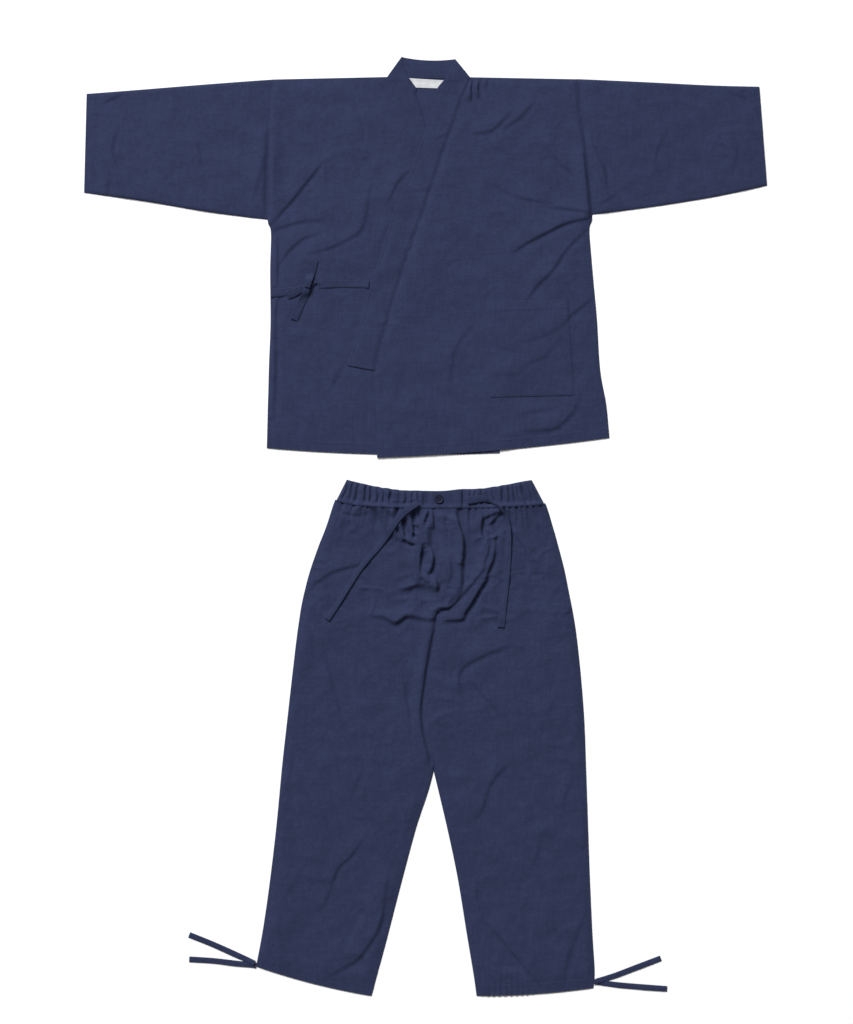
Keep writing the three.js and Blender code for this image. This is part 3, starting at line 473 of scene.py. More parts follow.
def panel(rows, step=STEP, first=EDGE, last=EDGE, tuck=None, early=None, early_across=None):
    """A panel between two smooth edges. Tuck gives how far each edge is drawn in at a height."""
    edges, runs, sags = side_lines(rows, 60 * (len(rows) - 1) + 1)
    lengths = [run[-1] for run in runs]
    at = marks(lengths, round(max(lengths) / step), first, last, early)
    near, far = (at_runs(*line) for line in zip(at, runs, edges))
    if tuck is not None:
        near[:, 0] += tuck[0](near[:, 1])
        far[:, 0] -= tuck[1](far[:, 1])
    x, y, share = rows_between(near, far, step, early=early_across)
    sag = np.interp(at[0], runs[0], sags)
    return Plan(x, y - sag[:, None] * 4 * share * (1 - share))


def band(seam, free_edge):
    """A band sewn along a seam line, lapping over it a little, out to its own free edge."""
    lines = seam, even_line(free_edge, 2)
    runs = [run_of(line) for line in lines]
    length = runs[0][-1]
    at = marks([length], round(length / STEP), EDGE, EDGE)[0] / length
    inner, outer = (at_runs(at * run[-1], run, line) for run, line in zip(runs, lines))
    away = outer - inner
    inner = inner - BAND_LAP * away / np.hypot(*away.T)[:, None]
    return Plan(*rows_between(inner, outer, STEP)[:2])


def spread(values, count):
    """Values given at even parts of a length, at that many points of it."""
    return np.interp(np.linspace(0, 1, count), np.linspace(0, 1, len(values)), values)


def tape(places, widths):
    """A tape along a line of places, with its width given at even parts of its length."""
    line = even_line(places, TAPE_STEP)
    across = TAPE_PARTS * spread(widths, len(line))[:, None]
    aside = leftwards(headings(line))[:, None]
    return Plan(*np.moveaxis(line[:, None] + aside * across[..., None], -1, 0))


# The pile: the top of all cloth laid so far, over small squares of the floor
CELL = 2.0
HALF_X, HALF_Y = 700, 960
pile = np.zeros((int(2 * HALF_Y / CELL) + 1, int(2 * HALF_X / CELL) + 1))


def rested(reach):
    """The pile as a cloth lies on it that bridges whatever is within its reach."""
    cells = max(1, round(reach / CELL))
    out = pile
    for axis in (0, 1):
        out = np.maximum.reduce([np.roll(out, k, axis) for k in range(-cells, cells + 1)])
    weights = cells + 1.0 - np.abs(np.arange(-cells, cells + 1))
    weights /= weights.sum()
    for axis in (0, 1):
        out = sum(w * np.roll(out, k, axis) for w, k in zip(weights, range(-cells, cells + 1)))
    return out


def height_in(field, x, y):
    """The field's value at each place."""
    return blend_corners(field, (x + HALF_X) / CELL, (y + HALF_Y) / CELL, np.asarray)


def between(values, times):
    """The same rows with more points put evenly between them, both ways."""
    for axis in (0, 1):
        n = values.shape[axis]
        at = np.linspace(0, n - 1, (n - 1) * times + 1)
        i = np.minimum(at.astype(int), n - 2)
        t = (at - i).reshape((-1, 1) if axis == 0 else (1, -1))
        values = np.take(values, i, axis) * (1 - t) + np.take(values, i + 1, axis) * t
    return values


def add_to_pile(x, y, top):
    """Raises the pile to a new cloth's top, taken as its mean over each small square."""
    times = max(2, math.ceil(2 * np.hypot(np.diff(x, axis=1), np.diff(y, axis=1)).max() / CELL))
    fine_x, fine_y, fine_top = (between(values, times) for values in (x, y, top))
    i = np.rint((fine_x + HALF_X) / CELL).astype(int)
    j = np.rint((fine_y + HALF_Y) / CELL).astype(int)
    total, count = np.zeros_like(pile), np.zeros_like(pile)
    np.add.at(total, (j, i), fine_top)
    np.add.at(count, (j, i), 1)
    np.maximum(pile, total / np.maximum(count, 1), out=pile)


def rolled(distance, radius):
    """0 at a folded edge, rising like a quarter round to 1 at the radius."""
    return np.sqrt(1 - (1 - np.clip(distance / radius, 0, 1)) ** 2)


def sewn_down(distance, wall, width=5.0):
    """Thins a cloth softly towards an edge that is sewn flat to what lies under it."""
    return (0.1 - wall) * (1 - smooth(distance / width))


# Meshes
def mesh_object(name, points, faces, material, flat=0):
    """An object from points in millimetres. The last faces, as many as flat, aren't smooth."""
    mesh = bpy.data.meshes.new(name)
    mesh.from_pydata((np.asarray(points) * MM).tolist(), [], faces)
    mesh.polygons.foreach_set("use_smooth", np.arange(len(faces)) < len(faces) - flat)
    mesh.update()
    mesh.materials.append(material)
    piece = bpy.data.objects.new(name, mesh)
    bpy.context.scene.collection.objects.link(piece)
    return piece


def cloth_object(name, upper, under, material, closed=False):
    """A thin shell between two matching sheets of rows. A closed one joins its row ends."""
    rows, columns = upper.shape[:2]
    lift = rows * columns
    number = np.arange(lift).reshape(rows, columns)
    if closed:
        number = np.hstack([number, number[:, :1]])
        rims = [number[0], number[-1][::-1]]
    else:
        rims = [np.concatenate([number[0], number[1:, -1], number[-1, -2::-1], number[-2::-1, 0]])]
    quads = np.stack([number[:-1, :-1], number[:-1, 1:], number[1:, 1:], number[1:, :-1]], axis=-1)
    quads = quads.reshape(-1, 4)
    points = np.concatenate([upper.reshape(-1, 3), under.reshape(-1, 3)])
    a, b, c, d = (points[quads[:, k]] for k in range(4))
    facing = (np.cross(c - a, d - b) * (points[:lift] - points[lift:])[quads[:, 0]]).sum()
    sides = [np.stack([rim[:-1], rim[:-1] + lift, rim[1:] + lift, rim[1:]], axis=-1) for rim in rims]
    faces = np.concatenate([quads, quads[:, ::-1] + lift] + sides)
    return mesh_object(name, points, (faces if facing >= 0 else faces[:, ::-1]).tolist(), material)


def belongs(piece, node):
    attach(piece, "root")
    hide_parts(node)


def lay(
    name, plan, slot, node, wall=WALL, reach=20, lift=0.3, crown=0, roll=1,
    snug=0, sink=0,
):
    """Lays a cloth on the pile. Lift raises the whole wall, crown only its top, roll draws
    the cloth down to the floor where a closed edge turns under, snug presses it close to
    what lies under it, as a seam does, and sink draws a sewn edge into it."""

    def clear_of(field):
        height = height_in(field, plan.x, plan.y)
        return height + GAP * np.clip(height / 0.3, 0, 1)

    rest, tight = clear_of(rested(reach)), clear_of(rested(CELL))
    tight = tight + (clear_of(pile) - tight) * snug
    rest = rest + (tight - rest) * snug
    under = np.maximum(np.maximum((rest + np.maximum(lift, 0.0)) * roll, tight) - sink, 0)
    top = under + wall + crown
    add_to_pile(plan.x, plan.y, top)
    upper, lower = (np.dstack([plan.x, plan.y, z]) for z in (top, under))
    piece = cloth_object(name, upper, lower, materials[slot])
    belongs(piece, node)
    width, length, area = (value * MM for value in plan.flat())


def rumpled(x, y, size, seed):
    """Small crests that wander and run together as in washed cotton, from 0 to 1."""
    bent_x = x + 0.7 * size * drift(x, y, 1.8 * size, seed)
    bent_y = y + 0.7 * size * drift(x, y, 1.8 * size, seed + 1)
    crest = 1 - np.abs(drift(bent_x, bent_y, size, seed + 2)) / 0.55
    here = smooth(0.5 + 0.9 * drift(x, y, 2.6 * size, seed + 3))
    return np.maximum(crest, -0.3) * here


def fullness(plan, rise, seed, *fades):
    """Soft fullness of a laid cloth that dies away over a length from each edge named."""
    x, y = plan.x, plan.y
    height = 0.72 + 0.6 * drift(x, y, 130, seed) + 0.42 * drift(x, y, 52, seed + 1)
    height = height + 0.24 * drift(x, y, 24, seed + 2) + 0.07 * drift(x, y, 11, seed + 8)
    height = height + 0.40 * rumpled(x, y, 46, seed + 20) + 0.18 * rumpled(x, y, 21, seed + 30)
    height = rise * np.maximum(height, 0.12)
    for distance, length in fades:
        height = height * (0.12 + 0.88 * smooth(distance / length))
    return height


def turned_hem(distance, depth=HEM_DEPTH):
    """Extra height of a doubled hem, with the dent of its stitching."""
    doubled = 0.5 * (1 - smooth((distance - depth + 0.8) / 1.6))
    return doubled - 0.32 * bell((distance - depth + 2.2) / 1.3)


def pulls(x, y, distance, depth, pitch, seed):
    """Small puckers that a line of stitching draws up beside itself."""
    uneven = 0.6 + 0.5 * drift(x, y, 45, seed)
    wave = 0.5 + 0.5 * np.sin(2 * math.pi * (x + 0.6 * y) / pitch + 3 * drift(x, y, 70, seed + 1))
    return 0.22 * uneven * wave * bell((distance - depth) / 9)


# Materials
def shader(name, roughness, specular, sheen=0.0, sheen_roughness=0.5):
    material = bpy.data.materials.new(name)
    material.use_nodes = True
    tree = material.node_tree
    tree.nodes.new("ShaderNodeTexCoord").name = "places"
    principled = tree.nodes["Principled BSDF"]
    principled.inputs["Roughness"].default_value = roughness
    principled.inputs["Specular IOR Level"].default_value = specular
    principled.inputs["Sheen Weight"].default_value = sheen
    principled.inputs["Sheen Roughness"].default_value = sheen_roughness
    return material, tree, principled


def noise(tree, stretch, scale, detail=2.0, roughness=0.5):
    """A noise texture on stretched object coordinates. Stretch is along x, y and z."""
    place = tree.nodes.new("ShaderNodeMapping")
    place.inputs["Scale"].default_value = stretch
    tree.links.new(tree.nodes["places"].outputs["Object"], place.inputs["Vector"])
    texture = tree.nodes.new("ShaderNodeTexNoise")
    texture.inputs["Scale"].default_value = scale
    texture.inputs["Detail"].default_value = detail
    texture.inputs["Roughness"].default_value = roughness
    tree.links.new(place.outputs["Vector"], texture.inputs["Vector"])
    return texture.outputs["Fac"]


def mixed(tree, *shares):
    """The sum of several values, each times its share."""
    total = None
    for share, value in shares:
        part = tree.nodes.new("ShaderNodeMath")
        part.operation = "MULTIPLY"
        part.inputs[1].default_value = share
        tree.links.new(value, part.inputs[0])
        if total is None:
            total = part.outputs["Value"]
            continue
        whole = tree.nodes.new("ShaderNodeMath")
        whole.operation = "ADD"
        tree.links.new(total, whole.inputs[0])
        tree.links.new(part.outputs["Value"], whole.inputs[1])
        total = whole.outputs["Value"]
    return total


def coloured(tree, principled, value, stops):
    """Gives the surface colours by a value, between stops of position and colour."""
    node = tree.nodes.new("ShaderNodeValToRGB")
    elements = node.color_ramp.elements
    while len(elements) < len(stops):
        elements.new(0.5)
    for element, (position, colour) in zip(elements, stops):
        element.position = position
        element.color = (*colour, 1)
    tree.links.new(value, node.inputs["Fac"])
    tree.links.new(node.outputs["Color"], principled.inputs["Base Color"])


def bump(tree, principled, height, strength, distance):
    node = tree.nodes.new("ShaderNodeBump")
    node.inputs["Strength"].default_value = strength
    node.inputs["Distance"].default_value = distance
    tree.links.new(height, node.inputs["Height"])
    tree.links.new(node.outputs["Normal"], principled.inputs["Normal"])


def woven_cotton(name, dye, weave=0.35):
    """Matt plain-woven cotton: uneven yarns both ways, slubs, and a faintly mottled dye."""
    material, tree, principled = shader(name, 0.9, 0.18, 0.09, 0.45)
    principled.inputs["Sheen Tint"].default_value = (0.45, 0.6, 1.0, 1)
    warp = noise(tree, (1.0, 0.06, 1.0), 900, 2, 0.6)
    weft = noise(tree, (0.06, 1.0, 1.0), 900, 2, 0.6)
    grain = noise(tree, (1, 1, 1), 1500, 1)
    mottle = noise(tree, (1, 1, 1), 24, 4, 0.6)
    slub = noise(tree, (1.5, 0.5, 1), 70)
    yarns = mixed(tree, (0.25, warp), (0.25, weft), (0.5, grain))
    down = noise(tree, (1.0, 0.09, 1.0), 300, 2, 0.6)
    across = noise(tree, (0.09, 1.0, 1.0), 300, 2, 0.6)
    fleck = noise(tree, (1, 1, 1), 170, 3, 0.6)
    tone = mixed(
        tree, (0.15, yarns), (0.16, down), (0.16, across), (0.28, fleck), (0.15, mottle), (0.1, slub)
    )
    shades = [(at, [part * share for part in dye]) for at, share in COTTON_SHADES]
    coloured(tree, principled, tone, shades)
    crumple = noise(tree, (1, 1, 1), 42, 3, 0.55)
    creping = noise(tree, (1, 1, 1), 120)
    bump(tree, principled, mixed(tree, (0.06, yarns), (0.7, crumple), (0.24, creping)), weave, 0.004)
    return material


def plain(name, finish, grain, dark, light, relief=None, soil=None):
    """A simple finish, mottled between two tones by its grain, which may also stand up."""
    material, tree, principled = shader(name, *finish)
    height = value = noise(tree, *grain)
    if soil is not None:
        value = mixed(tree, (0.5, height), (0.5, noise(tree, *soil)))
    coloured(tree, principled, value, [(0.3, dark), (0.7, light)])
    if relief is not None:
        bump(tree, principled, height, *relief)
    return material


# Dye at the dark, middle and light places of the woven cotton
COTTON_SHADES = [(0.44, 8 / 9), (0.5, 1), (0.56, 10 / 9)]
EVENLY = (1, 1, 1)
materials = {
    "navy_cotton": woven_cotton("navy woven cotton", (0.0214, 0.0285, 0.0706)),
    "navy_band": woven_cotton("navy doubled cotton", (0.0208, 0.0278, 0.0688), 0.25),
    # The tape's tone is a touch lighter than the cloth's: a painted highlight for the light that the
    # raised tapes catch.
    "navy_tape": woven_cotton("navy folded tape", (0.0216, 0.0288, 0.0706), 0.3),
    # The thread is painted darker than the cloth as painted shade, so that each line of stitches also
    # draws the dark shade line along its seam or edge.
    "navy_thread": plain(
        "navy thread darkened as painted seam shade", (0.8, 0.2, 0.05), (EVENLY, 1600, 1), (0.005, 0.007, 0.022),
        (0.010, 0.013, 0.040), (0.3, 0.0003),
    ),
    "white_label": plain(
        "white satin tape", (0.5, 0.4, 0.1), ((0.08, 1, 1), 1400, 1), (0.44, 0.45, 0.48),
        (0.66, 0.67, 0.69), (0.25, 0.0004), (EVENLY, 60),
    ),
    "navy_button": plain(
        "dark navy resin", (0.6, 0.2), ((1, 2.5, 1), 160, 3), (0.006, 0.008, 0.024),
        (0.010, 0.013, 0.036), (0.06, 0.0004),
    ),
    "pale_paper": plain(
        "pale studio paper", (0.95, 0.05), (EVENLY, 30, 3), (0.93,) * 3, (0.94,) * 3
    ),
}


# Stitching: one small grain of thread for each stitch of a seam
stitch_lines = []


def stitch(line, garment, keep=None):
    """Notes a line of stitches, one at each point, on top of what has been laid so far."""
    if keep is not None:
        line = line[keep(line)]
    ground = height_in(pile, line[:, 0], line[:, 1])
    stitch_lines.append((garment, line[:-1], ground[:-1], headings(line)[:-1]))


def beside(places, distance):
    """Points for stitches on a line moved sideways, to the left of its direction."""
    line = even_line(places, STITCH)
    return line + distance * leftwards(headings(line))


def edge_line(plan, side, inset):
    """Points for stitches on a line at a distance inside one edge of a plan."""
    tables = getattr(plan, side), plan.x, plan.y
    if side in ("start", "end"):
        tables = [table.T for table in tables]
    if side in ("right", "end"):
        tables = [table[:, ::-1] for table in tables]
    points = [[np.interp(inset, away, row) for row in (x, y)] for away, x, y in zip(*tables)]
    points = np.array(points)
    run = run_of(points)
    return at_runs(np.arange(2.0, run[-1] - 2.0, STITCH), run, points)


def stitch_edge(plan, side, inset, garment="jacket", keep=None):
    stitch(edge_line(plan, side, inset), garment, keep)


def stitching_object(garment):
    """All the stitches of a garment that nothing laid later has covered."""
    turns = np.linspace(0, 2 * math.pi, 6)[:-1]
    rings = [(x, 0.26 * math.cos(t), 0.1 + 0.2 * math.sin(t)) for x in (-0.45, 0.45) for t in turns]
    grain = np.array(rings + [(-1.15, 0, -0.05), (1.15, 0, -0.05)])
    sides = [(k, (k + 1) % 5) for k in range(5)]
    shape = [face for k, n in sides for face in ((k, n, 5 + n, 5 + k), (n, k, 10), (5 + k, 5 + n, 11))]
    points, faces = [], []
    for owner, line, ground, ahead in stitch_lines:
        if owner != garment:
            continue
        shown = height_in(pile, line[:, 0], line[:, 1]) < ground + 0.25
        for place, z, along in zip(line[shown], ground[shown], ahead[shown]):
            faces += [[len(points) + corner for corner in face] for face in shape]
            flat = place + grain[:, :1] * along + grain[:, 1:2] * (-along[1], along[0])
            points += np.column_stack([flat, grain[:, 2] + z]).tolist()
    piece = mesh_object(f"stitching_{garment}", points, faces, materials["navy_thread"])
    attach(piece, "root")


# Jacket
UNDERARM_Y = 602
VENT_Y = 256


def turned_under(distance, radius, share):
    """Roll of an edge that turns under: 1 where its share is 0, rolled where it is 1."""
    return 1 + (rolled(distance, radius) - 1) * share


def closed_side(y):
    """1 where a body side is closed, between the vent and the underarm, 0 elsewhere."""
    return smooth((y - VENT_Y + 8) / 16) * (1 - smooth((y - UNDERARM_Y + 10) / 14))


def lay_sleeve(name, rows, creases, node, seed):
    """A flattened tube of cloth, open at the cuff and at the armhole."""
    edges, runs, _ = side_lines(rows, 60 * len(rows))
    at = marks([run[-1] for run in runs], round(runs[0][-1] / STEP), HEM_EDGE, EDGE)
    tops, lows = (at_runs(*line) for line in zip(at, runs, edges))
    joined = 3.4 * smooth((at[0] - at[0, -1] + 30) / 30) * np.sign(tops[-1, 0] - tops[0, 0])
    tops[:, 0] += joined
    lows[:, 0] += joined
    width = np.hypot(*(lows - tops).T)
    side = np.array([0.0, 0.5, 1.4, 3.0, 5.5, 9.0])
    above = marks(width, round(width.max() / STEP), side, side)
    below = marks(width, 12, side[:5], side[:5])[:, 1:-1][:, ::-1]
    width = width[:, None]
    down = (lows - tops) / width

    def placed(distance):
        return tops[:, None] + down[:, None] * distance[..., None]

    x, y = np.moveaxis(placed(above), -1, 0)
    plan = Plan(x, y)
    from_cuff = at[0][:, None] + 0 * x
    from_armhole = at[0, -1] - from_cuff
    full = fullness(plan, 2.3, seed, (from_armhole, 26), (from_cuff, 40))
    full = full + creased(x, y, creases) * (0.25 + 0.75 * smooth(from_armhole / 14))
    full = np.maximum(full, 0.15) + turned_hem(from_cuff) + pulls(y, x, from_cuff, 18, 13, seed)
    flat = 2 * WALL + 0.35
    middle = flat / 2
    top = middle + (flat - middle + full) * rolled(np.minimum(above, width - above), 7)
    bottom = middle - middle * rolled(np.minimum(below, width - below), 2.5)
    shrink = 1 - 2 * WALL / width
    inner = [placed(WALL + distance * shrink) for distance in (above, below)]
    inner_heights = [np.maximum(top - WALL, middle + 0.02), np.minimum(bottom + WALL, middle)]
    add_to_pile(x, y, top)
    piece = cloth_object(
        name, np.dstack([np.hstack([placed(above), placed(below)]), np.hstack([top, bottom])]),
        np.dstack([np.hstack(inner), np.hstack(inner_heights)]), materials["navy_cotton"], closed=True,
    )
    belongs(piece, node)
    stitch_edge(plan, "start", HEM_LINE)


def tucked(y):
    """How far a back is drawn in along an edge that a front closes over."""
    return TUCK + 0 * y


def build_jacket():
    back_plan = panel(JACKET_BACK, COARSE, tuck=(tucked, tucked))
    lay("jacket_back_cloth", back_plan, "navy_cotton", "jacket_back", lift=0.0)
    neck_plan = panel(NECK_BAND, 3.5)
    neck_crown = -0.5 * (1 - rolled(neck_plan.end, 2.2)) - 0.3 * bell((neck_plan.start - 3) / 1.2)
    neck_lift = 0.8 * smooth(neck_plan.end / 14) * smooth(neck_plan.start / 14)
    lay(
        "collar_band_neck", neck_plan, "navy_band", "collar_neck",
        wall=BAND_WALL, reach=4, lift=neck_lift, crown=neck_crown,
    )
    stitch_edge(neck_plan, "start", 3)
    label_plan = panel(NECK_LABEL, 3)
    label_lift = 0.35 + 0.25 * drift(label_plan.x, label_plan.y, 20, 5)
    lay(
        "neck_label_tape", label_plan, "white_label", "neck_label",
        wall=LABEL_WALL, reach=4, lift=label_lift,
    )
    lay_sleeve("sleeve_right_cloth", RIGHT_SLEEVE, RIGHT_SLEEVE_CREASES, "jacket_sleeve_right", 11)
    lay_sleeve("sleeve_left_cloth", LEFT_SLEEVE, LEFT_SLEEVE_CREASES, "jacket_sleeve_left", 17)
    lay_front(
        "right", RIGHT_FRONT, RIGHT_FRONT_CREASES, RIGHT_COLLAR_EDGE, [], 23,
        hidden=lambda x, y: smooth((x + 60 - 0.55 * (y - 300) + 60) / 60),
    )
    lay_front("left", LEFT_FRONT, LEFT_FRONT_CREASES, LEFT_COLLAR_EDGE, LEFT_COLLAR_CREASES, 29)

    pocket_plan = panel(POCKET, 2.6, last=HEM_EDGE)
    x, y = pocket_plan.x, pocket_plan.y
    edges = np.minimum(np.minimum(pocket_plan.left, pocket_plan.right), pocket_plan.start)
    lift = 0.25 + 0.9 * smooth(pocket_plan.end / 30) * smooth(edges / 25)
    lift = lift + 0.5 * np.maximum(drift(x, y, 60, 41), -0.4) * smooth(edges / 20)
    sides = np.minimum(pocket_plan.left, pocket_plan.right)
    crown = turned_hem(pocket_plan.end) * smooth(sides / 6) - 0.35 * bell((edges - 2.4) / 1.2)
    crown = crown - 0.3 * (1 - rolled(pocket_plan.start, 1.5)) + pulls(x, y, edges, 3, 12, 43)
    crown = crown + sewn_down(sides, WALL, 4) + 0.6 * sewn_down(pocket_plan.end, WALL, 3)
    corner = np.hypot((x - 140) / 20, (y - 428) / 14)
    crown = crown + 0.5 * bell(corner) * np.sin(2 * math.pi * (x + 0.4 * y) / 8)
    lay(
        "pocket_cloth", pocket_plan, "navy_cotton", "jacket_pocket",
        reach=3, lift=lift, crown=crown, snug=1 - smooth(sides / 10), sink=0.3 * (1 - smooth(sides / 5)),
    )
    stitch_edge(pocket_plan, "end", HEM_LINE)
    for side in ("left", "right", "start"):
        stitch_edge(pocket_plan, side, 2.4)


def lay_front(side, rows, creases, free_edge, band_creases, seed, hidden=None):
    """A jacket front with its stretch of the collar band. Hidden says where it lies under."""
    outer, seam = ("left", "right") if side == "right" else ("right", "left")
    plan = panel(rows, first=HEM_EDGE)
    x, y = plan.x, plan.y
    from_outer, from_seam = getattr(plan, outer), getattr(plan, seam)
    lift = fullness(plan, 2.3, seed, (plan.start, 34), (from_seam, 24), (plan.end, 18), (from_outer, 20))
    lift = lift + creased(x, y, creases) * (0.3 + 0.7 * smooth(from_seam / 10))
    lift = lift + 0.5 * rumpled(x, y, 14, seed + 40) * np.exp(-from_seam / 30) * smooth(from_seam / 6)
    lift = np.maximum(lift, 0.1)
    if hidden is not None:
        lift = lift * (1 - 0.75 * hidden(x, y))
    armhole = smooth((y - UNDERARM_Y + 6) / 10)
    lift = lift * (1 - armhole * (1 - smooth(from_outer / 6)))
    at_shoulder = np.where(plan.end < 8, rolled(plan.end + 0.2, 7), 1)
    roll = turned_under(from_outer, 8, closed_side(y)) * at_shoulder
    crown = turned_hem(plan.start) + pulls(x, y, plan.start, 17, 14, seed + 3)
    free = smooth((COLLAR_END_Y - y) / 6)
    crown = crown + free * (turned_hem(from_seam, 14) - 0.25 * (1 - rolled(from_seam, 1.5)))
    crown = crown + armhole * sewn_down(from_outer, WALL)
    above = smooth((y - COLLAR_END_Y + 4) / 10)
    snug = np.maximum(above * (1 - smooth(from_seam / 14)), armhole * (1 - smooth(from_outer / 10)))
    name = f"front_{side}_cloth"
    lay(
        name, plan, "navy_cotton", f"jacket_front_{side}", lift=lift, crown=crown,
        roll=roll, snug=snug, sink=0.25 * armhole * (1 - smooth(from_outer / 5)),
    )
    column = -1 if seam == "right" else 0
    line = np.stack([x[:, column], y[:, column]], axis=1)
    line = line[line[:, 1] > COLLAR_END_Y]
    stitch_edge(plan, "start", HEM_LINE)
    stitch_edge(plan, seam, 11.8, keep=lambda p: p[:, 1] < COLLAR_END_Y)
    stitch_edge(plan, outer, EDGE_INSET, keep=lambda p: p[:, 1] < VENT_Y)
    stitch_edge(plan, outer, 1.0, keep=lambda p: p[:, 1] > UNDERARM_Y + 4)

    strip = band(line, free_edge)
    bx, by = strip.x, strip.y
    uneven = 1 + 0.6 * drift(bx, by, 70, seed + 5)
    lift = 0.2 + 0.8 * smooth(strip.left / 16) * smooth(strip.right / 14) * uneven
    lift = lift * smooth(strip.left / 5)
    lift = lift + np.maximum(creased(bx, by, band_creases), -0.2)
    crown = -0.25 * bell((strip.left - 6) / 1.6) + pulls(by, bx, strip.left, 5, 15, seed + 6)
    crown = crown - 0.5 * (1 - rolled(strip.right, 2.4)) + sewn_down(strip.left, BAND_WALL, 8)
    crown = crown - 0.5 * (1 - rolled(strip.start, 2.0))
    if side == "left":
        crown = crown - 0.5 * line_dent(bx, by, COLLAR_JOIN, 2.0)
    crown = np.maximum(crown, 0.1 - BAND_WALL)
    lay(
        f"collar_band_{side}", strip, "navy_band", f"collar_{side}",
        wall=BAND_WALL, reach=5, lift=lift, crown=crown,
        snug=1 - smooth(strip.left / 10), sink=0.32 * (1 - smooth(strip.left / 6)),
    )
    stitch_edge(strip, "left", 6.0)
    # The dark stitches near the band's free edge also paint the shade along that edge.
    stitch_edge(strip, "right", 4.0)
    if side == "left":
        stitch(even_line(COLLAR_JOIN, STITCH), "jacket")


def build_fastening():
    def tie(name, node, places, widths, swell=None, tilt=0.0):
        """A tape of the bow. Tilt raises the edge on its shaded side."""
        plan = tape(places, widths)
        edge = np.minimum(plan.left, plan.right)
        crown = -0.5 * (1 - rolled(edge, 1.6)) - 0.22 * bell((edge - 2.4) / 0.8)
        lift = 0.2 + 0.25 * np.maximum(drift(plan.x, plan.y, 18, len(name)), -0.6)
        ahead = headings(np.array(places, float)).mean(axis=0)
        shaded_left = (-ahead[1] * LIGHT_SIDE[0] + ahead[0] * LIGHT_SIDE[1]) < 0
        lift = lift + tilt * (plan.right if shaded_left else plan.left)
        if swell is not None:
            lift = np.maximum(lift + swell(plan.x, plan.y), 0.05)
        lay(
            name, plan, "navy_tape", node,
            wall=TAPE_WALL, reach=6, lift=lift, crown=crown,
        )
        for side in ("left", "right"):
            stitch(even_line(edge_line(plan, side, EDGE_INSET), TIE_STITCH), "jacket")

    tie("tie_side_tape", "tie_side", SIDE_TIE, (16.5, 16, 15, 11), tilt=0.09)
    lobe = lambda x, y: 3.2 * smooth((8.5 - np.hypot((x + 214) * 1.1, y - 475)) / 3)
    tie("tie_collar_tape", "tie_collar", COLLAR_TIE, (13.5, 13.5, 14, 17), lobe, 0.03)
    tie("bow_loop_tape", "tie_loop", BOW_LOOP, (10, 14, 16.5, 16.5), tilt=0.12)

    def wrap(x, y):
        """The turn of the knot: highest in the middle, with lengthwise pleats."""
        along = (x - KNOT[0]) * 0.5 + (y - KNOT[1]) * 0.87
        aside = (x - KNOT[0]) * 0.87 - (y - KNOT[1]) * 0.5
        dome = 0.4 * bell(along / 9) * (1 - (aside / 10) ** 2)
        return dome + 0.15 * np.sin(aside * 1.3 + 0.08 * along)

    def drawn_in(x, y):
        """Pleats of a tail where the knot draws it together."""
        away = np.hypot(x - KNOT[0], y - KNOT[1])
        aside = (x - KNOT[0]) * 0.94 + (y - KNOT[1]) * -0.34
        return (0.1 + 0.3 * np.sin(aside * 1.1)) * bell(away / 18) + 0.1

    tie("knot_tape", "tie_knot", KNOT_WRAP, (10, 12, 14, 13, 9), wrap)
    tie("tail_lower_tape", "tie_tail_lower", LOWER_TAIL, (10, 13, 15, 16, 16), drawn_in, 0.15)
    tie("tail_upper_tape", "tie_tail_upper", UPPER_TAIL, (20, 18, 15, 13, 11), drawn_in, 0.16)


# Trousers
def waist_line(low, parts):
    table = np.array(WAIST, float)
    return curve(table[:, 0:2] if low else table[:, 2:4], parts)


def sewn_to_waist(plan):
    """Draws the top rows of a panel to just under the waistband."""
    seam = waist_line(True, np.linspace(0, 1, 400))
    target = np.interp(plan.x[0], seam[:, 0], seam[:, 1]) + WAIST_UNDERLAP
    shift = (target - plan.y[0])[None, :] * (1 - smooth(plan.start / 45))
    return Plan(plan.x, plan.y + shift)


def gathered(x, y):
    """Fullness of the gathered waist from 0 in its valleys to 1."""
    full = np.ones_like(x)
    bend = 2.8 * drift(x, y, 17, 71)
    for valley, depth, half, lean in GATHERS:
        aside = (x - valley - lean * (y - 55) - bend) / (0.85 * half)
        here = depth * (0.9 + 0.45 * drift(0 * x + valley, y, 13, 72))
        full = full * (1 - 0.95 * np.clip(here, 0, 1) * bell(aside))
    return full


def pressed(x):
    """1 between the ends of the placket, 0 beyond them."""
    return smooth((x - PLACKET[0] + 12) / 14) * (1 - smooth((x - PLACKET[1] - 2) / 12))


